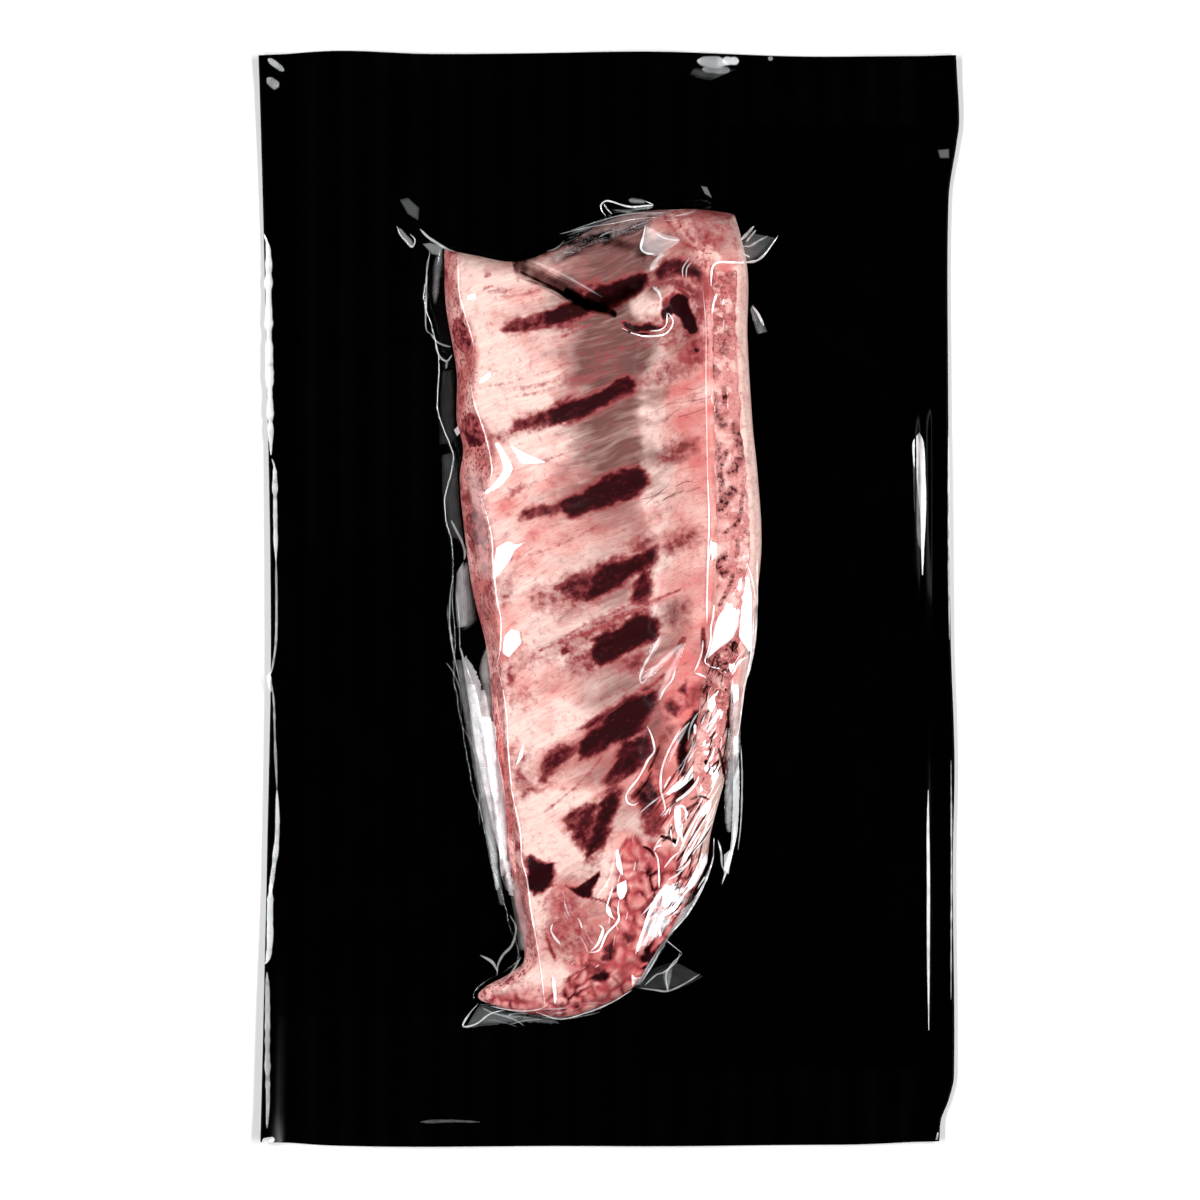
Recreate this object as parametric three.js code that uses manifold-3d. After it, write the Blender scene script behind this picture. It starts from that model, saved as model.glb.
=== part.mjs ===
// A vacuum pack of pork loin ribs: an opaque back web, and on it one rack of ribs, bone side up,
// which a clear front web holds down.
// Millimetres. X runs across the pack and Y along it, with Z up. The pack rests on z = 0, and the
// origin is under its middle.
//
// The rack is lofted over a grid of places (across, along). "Across" runs from 0 at the sawn left
// edge to 1 at the chine side, and "along" from 0 at the ragged end to 1 at the square end.

import * as THREE from "three";
import { mergeVertices } from "three/addons/utils/BufferGeometryUtils.js";
import Module from "manifold-3d";

const wasm = await Module();
wasm.setup();

// ---- Driving dimensions ----

const WEB_THICKNESS = 0.8; // both webs, sealed to each other
const FIT_GAP = 0.3; // between pieces that touch
const SEAL_WIDTH = 5; // embossed band round the pouch
const SEAL_DEPTH = 0.2;

// The pouch's four edges. Side edges are rows of [y, x], end edges are rows of [x, y].
const POUCH_LEFT = [[-197, -125], [-92, -122.8], [-11, -121.4], [86, -123.1], [197, -125.8]];
const POUCH_RIGHT = [
  [-197, 118.6], [-189, 119.3], [-182, 121.9], [-172, 124], [-97, 123.6], [-58, 124.2],
  [-13, 122.8], [79, 121.9], [144, 122.1], [163, 124.8], [172, 125.8], [197, 124.6],
];
const POUCH_BOTTOM = [[-125, -194.8], [-99, -196.8], [-46, -197], [83, -196.4], [118, -194.9]];
const POUCH_TOP = [[-126, 194.9], [-98, 197], [-63, 195.7], [12, 196.6], [73, 194.9], [125, 195.1]];

// How far each side edge of the pouch lifts off the table, rows of [y, lift].
const CURL_WIDTH = 12;
const LEFT_CURL = [[-197, 3.2], [-150, 2.8], [-100, 1.8], [0, 2.2], [70, 1.3], [130, 0.8], [197, 2]];
const RIGHT_CURL = [[-197, 1.4], [-165, 0.8], [0, 0.9], [140, 0.8], [172, 1.4], [197, 1.6]];
const END_RIPPLE = 0.9;
const LEAST_LIFT = 0.2; // under this the web lies flat on the table

// A long crease in the right margin, rows of [y, height of the ridge].
const CREASE_X = 113;
const CREASE_HALF_WIDTH = 3.2;
const CREASE_HEIGHT = [[-160, 0], [-150, 1.1], [-75, 1.2], [-20, 0.5], [10, 2], [60, 2.4], [72, 0]];

// The rack's outline at its widest. Side edges are rows of [y, x].
const RACK_LEFT_ENDS = [-147.5, 125.5]; // y where the left edge starts and ends
const RACK_RIGHT_ENDS = [-127, 137.8];
const RACK_LEFT = [
  [-147.5, -37], [-144, -46.5], [-140, -45], [-135, -36], [-130, -30.5], [-109, -33.5],
  [-79, -38.2], [-47, -41.4], [-18, -44], [3, -49], [30, -52.6], [44, -53.6], [54, -52.4],
  [64, -54.7], [81, -54.7], [106, -58.7], [125.5, -59.2],
];
const RACK_RIGHT = [
  [-127, 16], [-116, 23], [-97, 34], [-83, 36.6], [-66, 41], [-43, 46.4], [-20, 50.4], [0, 52.7],
  [20, 54.4], [44, 53], [62, 51.2], [93, 49.4], [117, 49.4], [137.8, 45],
];

// How far each end of the rack departs from a straight line, rows of [across, distance along Y].
const END_REACH = 0.16; // share of the length over which it fades
const BOTTOM_END = [[0, 0], [0.18, -5.5], [0.4, -11], [0.62, -12], [0.87, -9.5], [1, 0]];
const TOP_END = [[0, 0], [0.1, -3.4], [0.25, -7.6], [0.4, -4], [0.6, 4.1], [0.82, 3.8], [1, 0]];

// Heights of the rack above the table, rows of [along, height].
const SAWN_EDGE_HEIGHT = [[0, 6], [0.05, 8], [0.12, 15], [0.5, 19.5], [0.85, 19.5], [1, 16]];
const VALLEY_HEIGHT = [[0, 13], [0.15, 18], [0.3, 16.5], [0.5, 15.5], [0.8, 15.5], [1, 16.5]];
const CHINE_HEIGHT = [[0, 13], [0.1, 19], [0.25, 24], [0.42, 28], [0.6, 31], [0.92, 30.5], [1, 26]];
const SKIRT = 1; // least height of the rack's edge over the web
const END_ROUNDING = 9; // radius at the two ends
const SHOULDER = 0.985; // across: where the top turns down into the chine side
const SIDE_WALL = [[0.994, 0.68], [0.999, 0.34], [1, 0]]; // [across, share of the shoulder's height]
const SAWN_FACE_BULGE = 0.85; // under 1 the sawn face bulges outwards

// Width of the slanting sawn face along the left edge, rows of [y, width].
const SAWN_WIDTH = [
  [-148, 4], [-79, 5.6], [-60, 4.6], [-15, 5.4], [0, 7.8], [20, 10], [33, 8.6], [46, 12],
  [57, 10], [70, 7], [93, 8.2], [106, 5.6], [125, 5],
];

// Centre line of each rib bone, from the sawn edge to the chine.
const RIB_LINES = [
  [[-51.2, 93.5], [-13.5, 102.4], [9, 111], [26, 118.5]],
  [[-48.7, 59.5], [-22.8, 64.1], [8.5, 77.2], [31, 87]],
  [[-45.5, 25.4], [-17.4, 33.5], [8.5, 44.9], [30.5, 54.5]],
  [[-43.7, -2.3], [-17.4, 3.9], [8, 14.8], [30.5, 23.6]],
  [[-42.3, -30.7], [-11, -21], [14, -13.2], [28.7, -6]],
  [[-39.8, -71.5], [-17.8, -58.5], [3, -45.5], [18, -34]],
  [[-33.8, -101.7], [-15, -86], [-1, -72.5], [13, -54]],
  [[-32.5, -122], [-24, -114.5], [-15, -107.5], [-8.6, -102.5]],
];
const RIB_HALF_WIDTH = 5;
const RIB_HALF_THICKNESS = 3.6;
const RIB_END_FLARE = 1.3; // wider at the sawn end
const RIB_END_SHARE = 0.45; // share of the rib over which the flare fades
const RIB_OVERRUN = 12; // run past the sawn face before it is cut off
const RIB_COVER = 1.6; // membrane over the bone
const RIB_END_DROP = 2.6; // the sawn end sits deeper in the face
const RIB_RIDGE = 1.1; // how far a rib lifts the surface over it
const RIB_RIDGE_REACH = 6.5;
const RIB_SIDES = 10;
const RIB_STEPS = 9;

// The sawn strip of backbone along the right edge, inner wall as rows of [y, x].
const CHINE_ENDS = [-72, 117];
const CHINE_INNER = [
  [-72, 30.5], [-58, 28], [-40, 30], [-20, 33.2], [0, 36], [40, 35.6], [117, 34.7],
];
const CHINE_SIDE_FAT = 4.2; // fat left outside the strip
const CHINE_FLOOR = 12;
const CHINE_ROOF = 45; // clear of the rack's top, which cuts it off
const CHINE_STEPS = 14;

// Local hollows and bulges of the surface.
const DENTS = [
  { x: 24.5, y: 99.5, across: 4.5, along: 8, height: -6 }, // hollow in the swirl at the square end
  { x: 12, y: 101, across: 8, along: 7, height: 2.2 }, // pale bulge beside it
  { x: -9, y: -101, across: 6, along: 5, height: -6 }, // hollow between the last rib and loose fat
  { x: 20, y: -110, across: 5, along: 10, height: 3.5 }, // flap of fat
  { x: -16, y: -119, across: 9, along: 11, height: 2.4 }, // chunk of lean at the ragged end
  { x: 30, y: -34, across: 4, along: 7, height: -4 }, // crevice where the chine strip narrows
];
const LOBE_HEIGHT = 1.3; // lumps of fat at the ragged end
const LOBE_PITCH = 12;

const GRID_ROWS = 52;
const TOP_COLUMNS = 25;
const SEARCH_STEPS = 12;

// ---- Curves ----

const mix = (a, b, f) => a + (b - a) * f;
const clamp = (value) => Math.min(Math.max(value, 0), 1);
const ease = (f) => clamp(f) ** 2 * (3 - 2 * clamp(f));

// Smooth value at t of a table of [position, value] rows, held past its ends.
function valueAt(table, t) {
  const last = table.length - 1;
  if (t <= table[0][0]) return table[0][1];
  if (t >= table[last][0]) return table[last][1];
  const i = table.findIndex((row) => row[0] > t) - 1;
  const slopeAt = (k) => {
    const before = table[Math.max(k - 1, 0)];
    const after = table[Math.min(k + 1, last)];
    return (after[1] - before[1]) / (after[0] - before[0]);
  };
  const span = table[i + 1][0] - table[i][0];
  const f = (t - table[i][0]) / span;
  const leaving = f * (1 - f) ** 2 * span * slopeAt(i);
  const arriving = f ** 2 * (f - 1) * span * slopeAt(i + 1);
  return mix(table[i][1], table[i + 1][1], ease(f)) + leaving + arriving;
}

// Shares from 0 to 1 with the given finer steps at both ends.
function sharesWithFineEnds(fine, steps) {
  const first = fine[fine.length - 1];
  const middle = Array.from({ length: steps - 1 }, (_, i) => mix(first, 1 - first, (i + 1) / steps));
  const tail = fine.map((share) => 1 - share).reverse();
  return [...fine, ...middle, ...tail];
}

// ---- Solids from points ----

function addQuad(faces, a, b, c, d) {
  faces.push(a, b, c, a, c, d);
}

function geometryOf(faces) {
  return mergeVertices(new THREE.BufferGeometry().setFromPoints(faces), 1e-4);
}

// The walls that join two grids of points along their shared rim.
function addWalls(faces, upper, lower) {
  const rows = upper.length;
  const columns = upper[0].length;
  const rim = [];
  for (let j = 0; j < columns - 1; j++) rim.push([0, j]);
  for (let i = 0; i < rows - 1; i++) rim.push([i, columns - 1]);
  for (let j = columns - 1; j > 0; j--) rim.push([rows - 1, j]);
  for (let i = rows - 1; i > 0; i--) rim.push([i, 0]);
  rim.forEach(([i, j], k) => {
    const [m, n] = rim[(k + 1) % rim.length];
    addQuad(faces, lower[i][j], lower[m][n], upper[m][n], upper[i][j]);
  });
  return rim;
}

function addGrid(faces, grid, facingUp) {
  for (let i = 0; i < grid.length - 1; i++) {
    for (let j = 0; j < grid[0].length - 1; j++) {
      const corners = [grid[i][j], grid[i][j + 1], grid[i + 1][j + 1], grid[i + 1][j]];
      addQuad(faces, ...(facingUp ? corners : corners.reverse()));
    }
  }
}

// A sheet: the upper grid, and the same grid again a thickness lower.
function sheetGeometry(upper, lower) {
  const faces = [];
  addGrid(faces, upper, true);
  addGrid(faces, lower, false);
  addWalls(faces, upper, lower);
  return geometryOf(faces);
}

// A mound: the upper grid on a flat floor of few faces.
function moundGeometry(upper, floor) {
  const faces = [];
  addGrid(faces, upper, true);
  const lower = upper.map((row) => row.map((p) => new THREE.Vector3(p.x, p.y, floor)));
  const rim = addWalls(faces, upper, lower).map(([i, j]) => lower[i][j]);
  const flat = rim.map((p) => new THREE.Vector2(p.x, p.y));
  for (const [a, b, c] of THREE.ShapeUtils.triangulateShape(flat, [])) {
    faces.push(rim[a], rim[c], rim[b]);
  }
  return geometryOf(faces);
}

// A bar through rings of equally many points, closed by a fan at each end.
function barGeometry(rings) {
  const faces = [];
  const sides = rings[0].length;
  rings.slice(1).forEach((ring, i) => {
    for (let j = 0; j < sides; j++) {
      const next = (j + 1) % sides;
      addQuad(faces, rings[i][j], rings[i][next], ring[next], ring[j]);
    }
  });
  const last = rings[rings.length - 1];
  for (let j = 1; j < sides - 1; j++) {
    faces.push(rings[0][0], rings[0][j + 1], rings[0][j]);
    faces.push(last[0], last[j], last[j + 1]);
  }
  return geometryOf(faces);
}

// ---- Joining and cutting ----

function toSolid(geometry) {
  const vertProperties = new Float32Array(geometry.attributes.position.array);
  const triVerts = new Uint32Array(geometry.index.array);
  return new wasm.Manifold(new wasm.Mesh({ numProp: 3, vertProperties, triVerts }));
}

function toGeometry(solid) {
  const { vertProperties, triVerts } = solid.getMesh();
  const geometry = new THREE.BufferGeometry();
  geometry.setAttribute("position", new THREE.BufferAttribute(vertProperties, 3));
  geometry.setIndex(new THREE.BufferAttribute(triVerts, 1));
  return geometry;
}

// ---- The back web, with the front web's margin sealed on it ----

function webLift(x, y, fromLeft, fromRight, fromEnd) {
  const left = valueAt(LEFT_CURL, y) * ease(1 - fromLeft / CURL_WIDTH);
  const right = valueAt(RIGHT_CURL, y) * ease(1 - fromRight / CURL_WIDTH);
  const ripple = END_RIPPLE * (0.5 + 0.5 * Math.sin(x / 13)) * ease(1 - fromEnd / CURL_WIDTH);
  const crease = valueAt(CREASE_HEIGHT, y) * ease(1 - Math.abs(x - CREASE_X) / CREASE_HALF_WIDTH);
  const lift = left + right + ripple + crease;
  return lift < LEAST_LIFT ? 0 : lift;
}

function backWebGeometry() {
  const leftShares = [0, 0.01, 0.02, 0.022, 0.035, 0.056]; // fine over the seal and the curl
  const creaseShares = [0.935, 0.942, 0.9485, 0.955, 0.962];
  const rightShares = [0.978, 0.98, 0.99, 1];
  const acrossShares = [...leftShares, 0.14, 0.32, 0.5, 0.68, 0.86, ...creaseShares, ...rightShares];
  const alongShares = sharesWithFineEnds([0, 0.0065, 0.0127, 0.014, 0.036], 34);
  const place = (across, along) => {
    const nominalX = mix(-126, 126, across);
    const nominalY = mix(-197, 197, along);
    const left = valueAt(POUCH_LEFT, nominalY);
    const right = valueAt(POUCH_RIGHT, nominalY);
    const bottom = valueAt(POUCH_BOTTOM, nominalX);
    const top = valueAt(POUCH_TOP, nominalX);
    const x = mix(left, right, across);
    const y = mix(bottom, top, along);
    const fromEnd = Math.min(y - bottom, top - y);
    const lift = webLift(x, y, x - left, right - x, fromEnd);
    const inSeal = Math.min(x - left, right - x, fromEnd) < SEAL_WIDTH;
    return { x, y, lift, thickness: WEB_THICKNESS - (inSeal ? SEAL_DEPTH : 0) };
  };
  const places = alongShares.map((along) => acrossShares.map((across) => place(across, along)));
  const gridOf = (height) =>
    places.map((row) => row.map((p) => new THREE.Vector3(p.x, p.y, height(p))));
  const upper = gridOf((p) => p.lift + p.thickness);
  const lower = gridOf((p) => p.lift);
  return sheetGeometry(upper, lower);
}

// ---- The rack's surface ----

function distanceToLine(x, y, line) {
  let nearest = Infinity;
  for (let i = 0; i < line.length - 1; i++) {
    const [ax, ay] = line[i];
    const [dx, dy] = [line[i + 1][0] - ax, line[i + 1][1] - ay];
    const f = clamp(((x - ax) * dx + (y - ay) * dy) / (dx * dx + dy * dy));
    nearest = Math.min(nearest, Math.hypot(x - ax - f * dx, y - ay - f * dy));
  }
  return nearest;
}

// Relief on the smooth form: rib ridges, hollows and bulges, and lobes of fat.
function reliefAt(x, y) {
  const nearestRib = Math.min(...RIB_LINES.map((line) => distanceToLine(x, y, line)));
  const ridge = RIB_RIDGE * ease(1 - nearestRib / RIB_RIDGE_REACH);
  const dents = DENTS.reduce(
    (sum, d) => sum + d.height * Math.exp(-(((x - d.x) / d.across) ** 2) - ((y - d.y) / d.along) ** 2),
    0,
  );
  const turn = (2 * Math.PI) / LOBE_PITCH;
  const lobes = Math.sin(x * turn + Math.sin(y / 5)) * Math.cos(y * turn + Math.sin(x / 4));
  const raggedEnd = ease((-78 - y) / 22) * ease((x + 12) / 10);
  return ridge + dents + LOBE_HEIGHT * lobes * raggedEnd;
}

function planPoint(across, along) {
  const leftY = mix(...RACK_LEFT_ENDS, along);
  const rightY = mix(...RACK_RIGHT_ENDS, along);
  const x = mix(valueAt(RACK_LEFT, leftY), valueAt(RACK_RIGHT, rightY), across);
  const bottomShift = valueAt(BOTTOM_END, across) * ease(1 - along / END_REACH);
  const topShift = valueAt(TOP_END, across) * ease(1 - (1 - along) / END_REACH);
  return { x, y: mix(leftY, rightY, across) + bottomShift + topShift };
}

// Share of the rack's width that the sawn face takes.
function sawnShare(along) {
  const leftY = mix(...RACK_LEFT_ENDS, along);
  const rightY = mix(...RACK_RIGHT_ENDS, along);
  const width = valueAt(RACK_RIGHT, rightY) - valueAt(RACK_LEFT, leftY);
  return valueAt(SAWN_WIDTH, leftY) / width;
}

// Height of the smooth top over the table, inside the sawn face's upper edge.
function smoothHeight(across, along) {
  const edge = valueAt(SAWN_EDGE_HEIGHT, along);
  const valley = valueAt(VALLEY_HEIGHT, along);
  const chine = valueAt(CHINE_HEIGHT, along);
  const section = [
    [sawnShare(along), edge], [0.2, edge + 0.8], [0.33, mix(edge, valley, 0.4)],
    [0.47, valley + 0.3], [0.59, valley], [0.65, valley + 2], [0.73, mix(valley, chine, 0.5)],
    [0.81, chine - 3], [0.84, chine - 1.4], [0.9, chine], [0.955, chine - 1], [SHOULDER, chine - 5],
  ];
  return valueAt(section, across);
}

function endRounding(along) {
  const length = RACK_LEFT_ENDS[1] - RACK_LEFT_ENDS[0];
  const fromEnd = Math.min(along, 1 - along) * length;
  return Math.sqrt(1 - (1 - clamp(fromEnd / END_ROUNDING)) ** 2);
}

const RACK_FLOOR = WEB_THICKNESS + FIT_GAP;

function topPoint(across, along) {
  const { x, y } = planPoint(across, along);
  const height = smoothHeight(across, along) + reliefAt(x, y);
  return new THREE.Vector3(x, y, mix(RACK_FLOOR + SKIRT, height, endRounding(along)));
}

// One row of the rack: up the sawn face, over the top and down the chine side.
function rackRow(along) {
  const sawn = sawnShare(along);
  const edge = topPoint(sawn, along);
  const shoulder = topPoint(SHOULDER, along);
  const facePoint = (f) => {
    const { x, y } = planPoint(sawn * f, along);
    return new THREE.Vector3(x, y, mix(RACK_FLOOR + SKIRT, edge.z, f ** SAWN_FACE_BULGE));
  };
  const wallPoint = (across, share) => {
    const { x, y } = planPoint(across, along);
    return new THREE.Vector3(x, y, mix(RACK_FLOOR + SKIRT, shoulder.z, share));
  };
  const row = [facePoint(0), facePoint(0.35), facePoint(0.7)];
  for (let j = 0; j <= TOP_COLUMNS; j++) {
    row.push(topPoint(mix(sawn, SHOULDER, j / TOP_COLUMNS), along));
  }
  SIDE_WALL.forEach(([across, share]) => row.push(wallPoint(across, share)));
  return row;
}

function rackGeometry() {
  const alongShares = sharesWithFineEnds([0, 0.006, 0.015, 0.03], GRID_ROWS);
  return moundGeometry(alongShares.map(rackRow), RACK_FLOOR);
}

// The place (across, along) on the rack that lies over a point of the table.
function placeOver(x, y) {
  let across = 0.5;
  let along = 0.5;
  for (let step = 0; step < SEARCH_STEPS; step++) {
    const here = planPoint(across, along);
    const leftX = planPoint(0, along).x;
    const rightX = planPoint(1, along).x;
    across = clamp(across + (x - here.x) / (rightX - leftX));
    along = clamp(along + (y - here.y) / (RACK_LEFT_ENDS[1] - RACK_LEFT_ENDS[0]));
  }
  return { across, along };
}

function heightOver(x, y) {
  const { across, along } = placeOver(x, y);
  return topPoint(Math.max(across, sawnShare(along)), along).z;
}

// ---- Bones ----

// A rib: an oval bar under the membrane, run past the sawn face to be cut off flush with it.
function ribGeometry(line, growth) {
  const [start, second] = line;
  const beyond = [2 * start[0] - second[0], 2 * start[1] - second[1]];
  const reach = RIB_OVERRUN / Math.hypot(beyond[0] - start[0], beyond[1] - start[1]);
  const first = [mix(start[0], beyond[0], reach), mix(start[1], beyond[1], reach)];
  const points = [first, ...line].map(([x, y]) => new THREE.Vector3(x, y, 0));
  const path = new THREE.CatmullRomCurve3(points, false, "centripetal");
  const rings = [];
  for (let i = 0; i <= RIB_STEPS; i++) {
    const share = i / RIB_STEPS;
    const centre = path.getPointAt(share);
    const sideways = path.getTangentAt(share).cross(new THREE.Vector3(0, 0, -1)).normalize();
    const nearEnd = ease(1 - share / RIB_END_SHARE);
    const roof = heightOver(centre.x, centre.y) - RIB_COVER;
    centre.z = roof - RIB_HALF_THICKNESS - RIB_END_DROP * nearEnd;
    const endward = i === 0 ? -growth : i === RIB_STEPS ? growth : 0;
    centre.addScaledVector(path.getTangentAt(share), endward);
    const halfWidth = RIB_HALF_WIDTH + RIB_END_FLARE * nearEnd + growth;
    const halfThickness = RIB_HALF_THICKNESS + growth;
    rings.push(ovalRing(centre, sideways, halfWidth, halfThickness));
  }
  return barGeometry(rings);
}

function ovalRing(centre, sideways, halfWidth, halfThickness) {
  return Array.from({ length: RIB_SIDES }, (_, k) => {
    const turn = (2 * Math.PI * (k + 0.5)) / RIB_SIDES;
    const upward = new THREE.Vector3(0, 0, Math.sin(turn) * halfThickness);
    return centre.clone().addScaledVector(sideways, Math.cos(turn) * halfWidth).add(upward);
  });
}

// The chine strip: a bar that stands through the rack's top and is cut off flush with it.
function chineGeometry(growth) {
  const rings = [];
  for (let i = 0; i <= CHINE_STEPS; i++) {
    const share = i / CHINE_STEPS;
    const y = mix(CHINE_ENDS[0] - growth, CHINE_ENDS[1] + growth, share);
    const inner = valueAt(CHINE_INNER, y) - growth;
    const outer = valueAt(RACK_RIGHT, y) - CHINE_SIDE_FAT + growth;
    const floor = CHINE_FLOOR - growth;
    rings.push([
      new THREE.Vector3(inner, y, floor),
      new THREE.Vector3(inner, y, CHINE_ROOF),
      new THREE.Vector3(outer, y, CHINE_ROOF),
      new THREE.Vector3(outer, y, floor),
    ]);
  }
  return barGeometry(rings);
}

// ---- The pack ----

const rackForm = toSolid(rackGeometry());
const ribs = RIB_LINES.map((line) => toSolid(ribGeometry(line, 0)).intersect(rackForm));
const chine = toSolid(chineGeometry(0)).intersect(rackForm);
const tunnels = RIB_LINES.map((line) => toSolid(ribGeometry(line, FIT_GAP)));
const channel = toSolid(chineGeometry(FIT_GAP));
const meat = [...tunnels, channel].reduce((solid, cutter) => solid.subtract(cutter), rackForm);

const blackFilm = new THREE.MeshStandardMaterial({ color: 0x050506, roughness: 0.22 });
const rawMeat = new THREE.MeshStandardMaterial({ color: 0xe9b3a8, roughness: 0.35 });
const ribBone = new THREE.MeshStandardMaterial({ color: 0x5c1420, roughness: 0.5 });
const sawnBone = new THREE.MeshStandardMaterial({ color: 0xd6958b, roughness: 0.5 });

const pack = new THREE.Group();

function addPiece(name, geometry, material) {
  geometry.computeVertexNormals();
  const piece = new THREE.Mesh(geometry, material);
  piece.name = name;
  pack.add(piece);
}

addPiece("back_web", backWebGeometry(), blackFilm);
addPiece("sealed_rack", toGeometry(meat), rawMeat);
ribs.forEach((rib, i) => addPiece(`rib_bone_${i + 1}`, toGeometry(rib), ribBone));
addPiece("chine_bone", toGeometry(chine), sawnBone);

export default pack;
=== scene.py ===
"""A vacuum pack of pork loin ribs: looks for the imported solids.

Sizes are in millimetres up to the point where a mesh is made, in the frame of the solids: X across the
pack, Y along it, Z up. The rack is worked out over a grid of places (across, along): "across" runs from 0
at the sawn left edge to 1 at the chine side, "along" from 0 at the ragged end to 1 at the square end.
Places read off the photograph are pixels of its 1200 x 1200 frame, which from_photo turns into millimetres.
A line of such places is written "x,y x,y ...".
"""

import math

import bpy
import numpy as np
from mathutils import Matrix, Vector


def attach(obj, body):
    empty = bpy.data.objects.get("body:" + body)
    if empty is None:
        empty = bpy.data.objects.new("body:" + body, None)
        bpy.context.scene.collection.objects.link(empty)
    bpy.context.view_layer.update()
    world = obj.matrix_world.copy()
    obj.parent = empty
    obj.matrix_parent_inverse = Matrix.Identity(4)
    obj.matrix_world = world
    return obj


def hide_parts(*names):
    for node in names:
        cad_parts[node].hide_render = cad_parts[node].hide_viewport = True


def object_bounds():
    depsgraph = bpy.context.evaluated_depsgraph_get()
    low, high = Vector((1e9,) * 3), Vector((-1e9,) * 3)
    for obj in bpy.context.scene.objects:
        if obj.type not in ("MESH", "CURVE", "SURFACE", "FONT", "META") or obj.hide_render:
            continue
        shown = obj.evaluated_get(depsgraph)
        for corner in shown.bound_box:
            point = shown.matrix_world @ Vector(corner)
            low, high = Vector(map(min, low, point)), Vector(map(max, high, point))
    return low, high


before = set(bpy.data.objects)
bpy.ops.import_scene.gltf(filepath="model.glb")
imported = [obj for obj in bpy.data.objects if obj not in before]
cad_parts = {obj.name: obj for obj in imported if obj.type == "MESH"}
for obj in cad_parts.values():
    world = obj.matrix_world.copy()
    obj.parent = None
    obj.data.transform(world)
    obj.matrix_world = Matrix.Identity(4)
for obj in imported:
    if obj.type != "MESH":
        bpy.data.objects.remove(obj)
cad_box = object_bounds()

METRES_PER_MM = 0.001
SOLIDS_TOP = 1000 * cad_box[1][2]  # in millimetres
FILM_ABOVE, WRINKLES_ABOVE, BONE_ABOVE = 0.75, 0.85, 0.4  # at most, over the top of the solids

# ---- The photograph's frame ----

PHOTO_CENTRE_PX = 600
MM_PER_PX = 0.36  # at the table
CAMERA_HEIGHT = 1020
CAMERA_X, CAMERA_Y = -3.24, -0.54
SENSOR, LENS = 36, 85

# ---- Driving dimensions, as in the solids ----

WEB_THICKNESS = 0.8
FIT_GAP = 0.3
POUCH_HALF_LENGTH = 197
WAVY_FROM = 160  # how far from the middle the ends' waves set in
POUCH_LEFT = [(-197, -125), (-92, -122.8), (-11, -121.4), (86, -123.1), (197, -125.8)]
POUCH_RIGHT = [
    (-197, 118.6), (-189, 119.3), (-182, 121.9), (-172, 124), (-97, 123.6), (-58, 124.2),
    (-13, 122.8), (79, 121.9), (144, 122.1), (163, 124.8), (172, 125.8), (197, 124.6),
]
POUCH_BOTTOM = [(-125, -194.8), (-99, -196.8), (-46, -197), (83, -196.4), (118, -194.9)]
POUCH_TOP = [(-126, 194.9), (-98, 197), (-63, 195.7), (12, 196.6), (73, 194.9), (125, 195.1)]
RACK_SPAN_X, RACK_SPAN_Y = (-76, 68), (-162, 152)  # the part of the pouch that the rack lifts
CURL_WIDTH = 12
LEFT_CURL = [(-197, 3.2), (-150, 2.8), (-100, 1.8), (0, 2.2), (70, 1.3), (130, 0.8), (197, 2)]
RIGHT_CURL = [(-197, 1.4), (-165, 0.8), (0, 0.9), (140, 0.8), (172, 1.4), (197, 1.6)]
END_RIPPLE = 0.9
CREASE_X, CREASE_HALF_WIDTH = 113, 3.2
CREASE_HEIGHT = [(-160, 0), (-150, 1.1), (-75, 1.2), (-20, 0.5), (10, 2), (60, 2.4), (72, 0)]

RACK_LEFT_ENDS = (-147.5, 125.5)
RACK_RIGHT_ENDS = (-127, 137.8)
RACK_LENGTH = RACK_LEFT_ENDS[1] - RACK_LEFT_ENDS[0]  # at the sawn left side
RACK_LEFT = [
    (-147.5, -37), (-144, -46.5), (-140, -45), (-135, -36), (-130, -30.5), (-109, -33.5),
    (-79, -38.2), (-47, -41.4), (-18, -44), (3, -49), (30, -52.6), (44, -53.6), (54, -52.4),
    (64, -54.7), (81, -54.7), (106, -58.7), (125.5, -59.2),
]
RACK_RIGHT = [
    (-127, 16), (-116, 23), (-97, 34), (-83, 36.6), (-66, 41), (-43, 46.4), (-20, 50.4), (0, 52.7),
    (20, 54.4), (44, 53), (62, 51.2), (93, 49.4), (117, 49.4), (137.8, 45),
]
END_REACH = 0.16
BOTTOM_END = [(0, 0), (0.18, -5.5), (0.4, -11), (0.62, -12), (0.87, -9.5), (1, 0)]
TOP_END = [(0, 0), (0.1, -3.4), (0.25, -7.6), (0.4, -4), (0.6, 4.1), (0.82, 3.8), (1, 0)]
SAWN_EDGE_HEIGHT = [(0, 6), (0.05, 8), (0.12, 15), (0.5, 19.5), (0.85, 19.5), (1, 16)]
VALLEY_HEIGHT = [(0, 13), (0.15, 18), (0.3, 16.5), (0.5, 15.5), (0.8, 15.5), (1, 16.5)]
CHINE_HEIGHT = [(0, 13), (0.1, 19), (0.25, 24), (0.42, 28), (0.6, 31), (0.92, 30.5), (1, 26)]
SKIRT = 1
END_ROUNDING = 9
FACE_CURVE = 0.85  # how the sawn face rounds over towards the top
SAWN_WIDTH = [
    (-148, 4), (-79, 5.6), (-60, 4.6), (-15, 5.4), (0, 7.8), (20, 10), (33, 8.6), (46, 12),
    (57, 10), (70, 7), (93, 8.2), (106, 5.6), (125, 5),
]
SHOULDER = 0.985  # across: where the top turns down into the chine side
CHINE_WALL = [(0, 1), (0.34, 0.999), (0.68, 0.994), (1, SHOULDER)]  # share of the height, across
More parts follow.
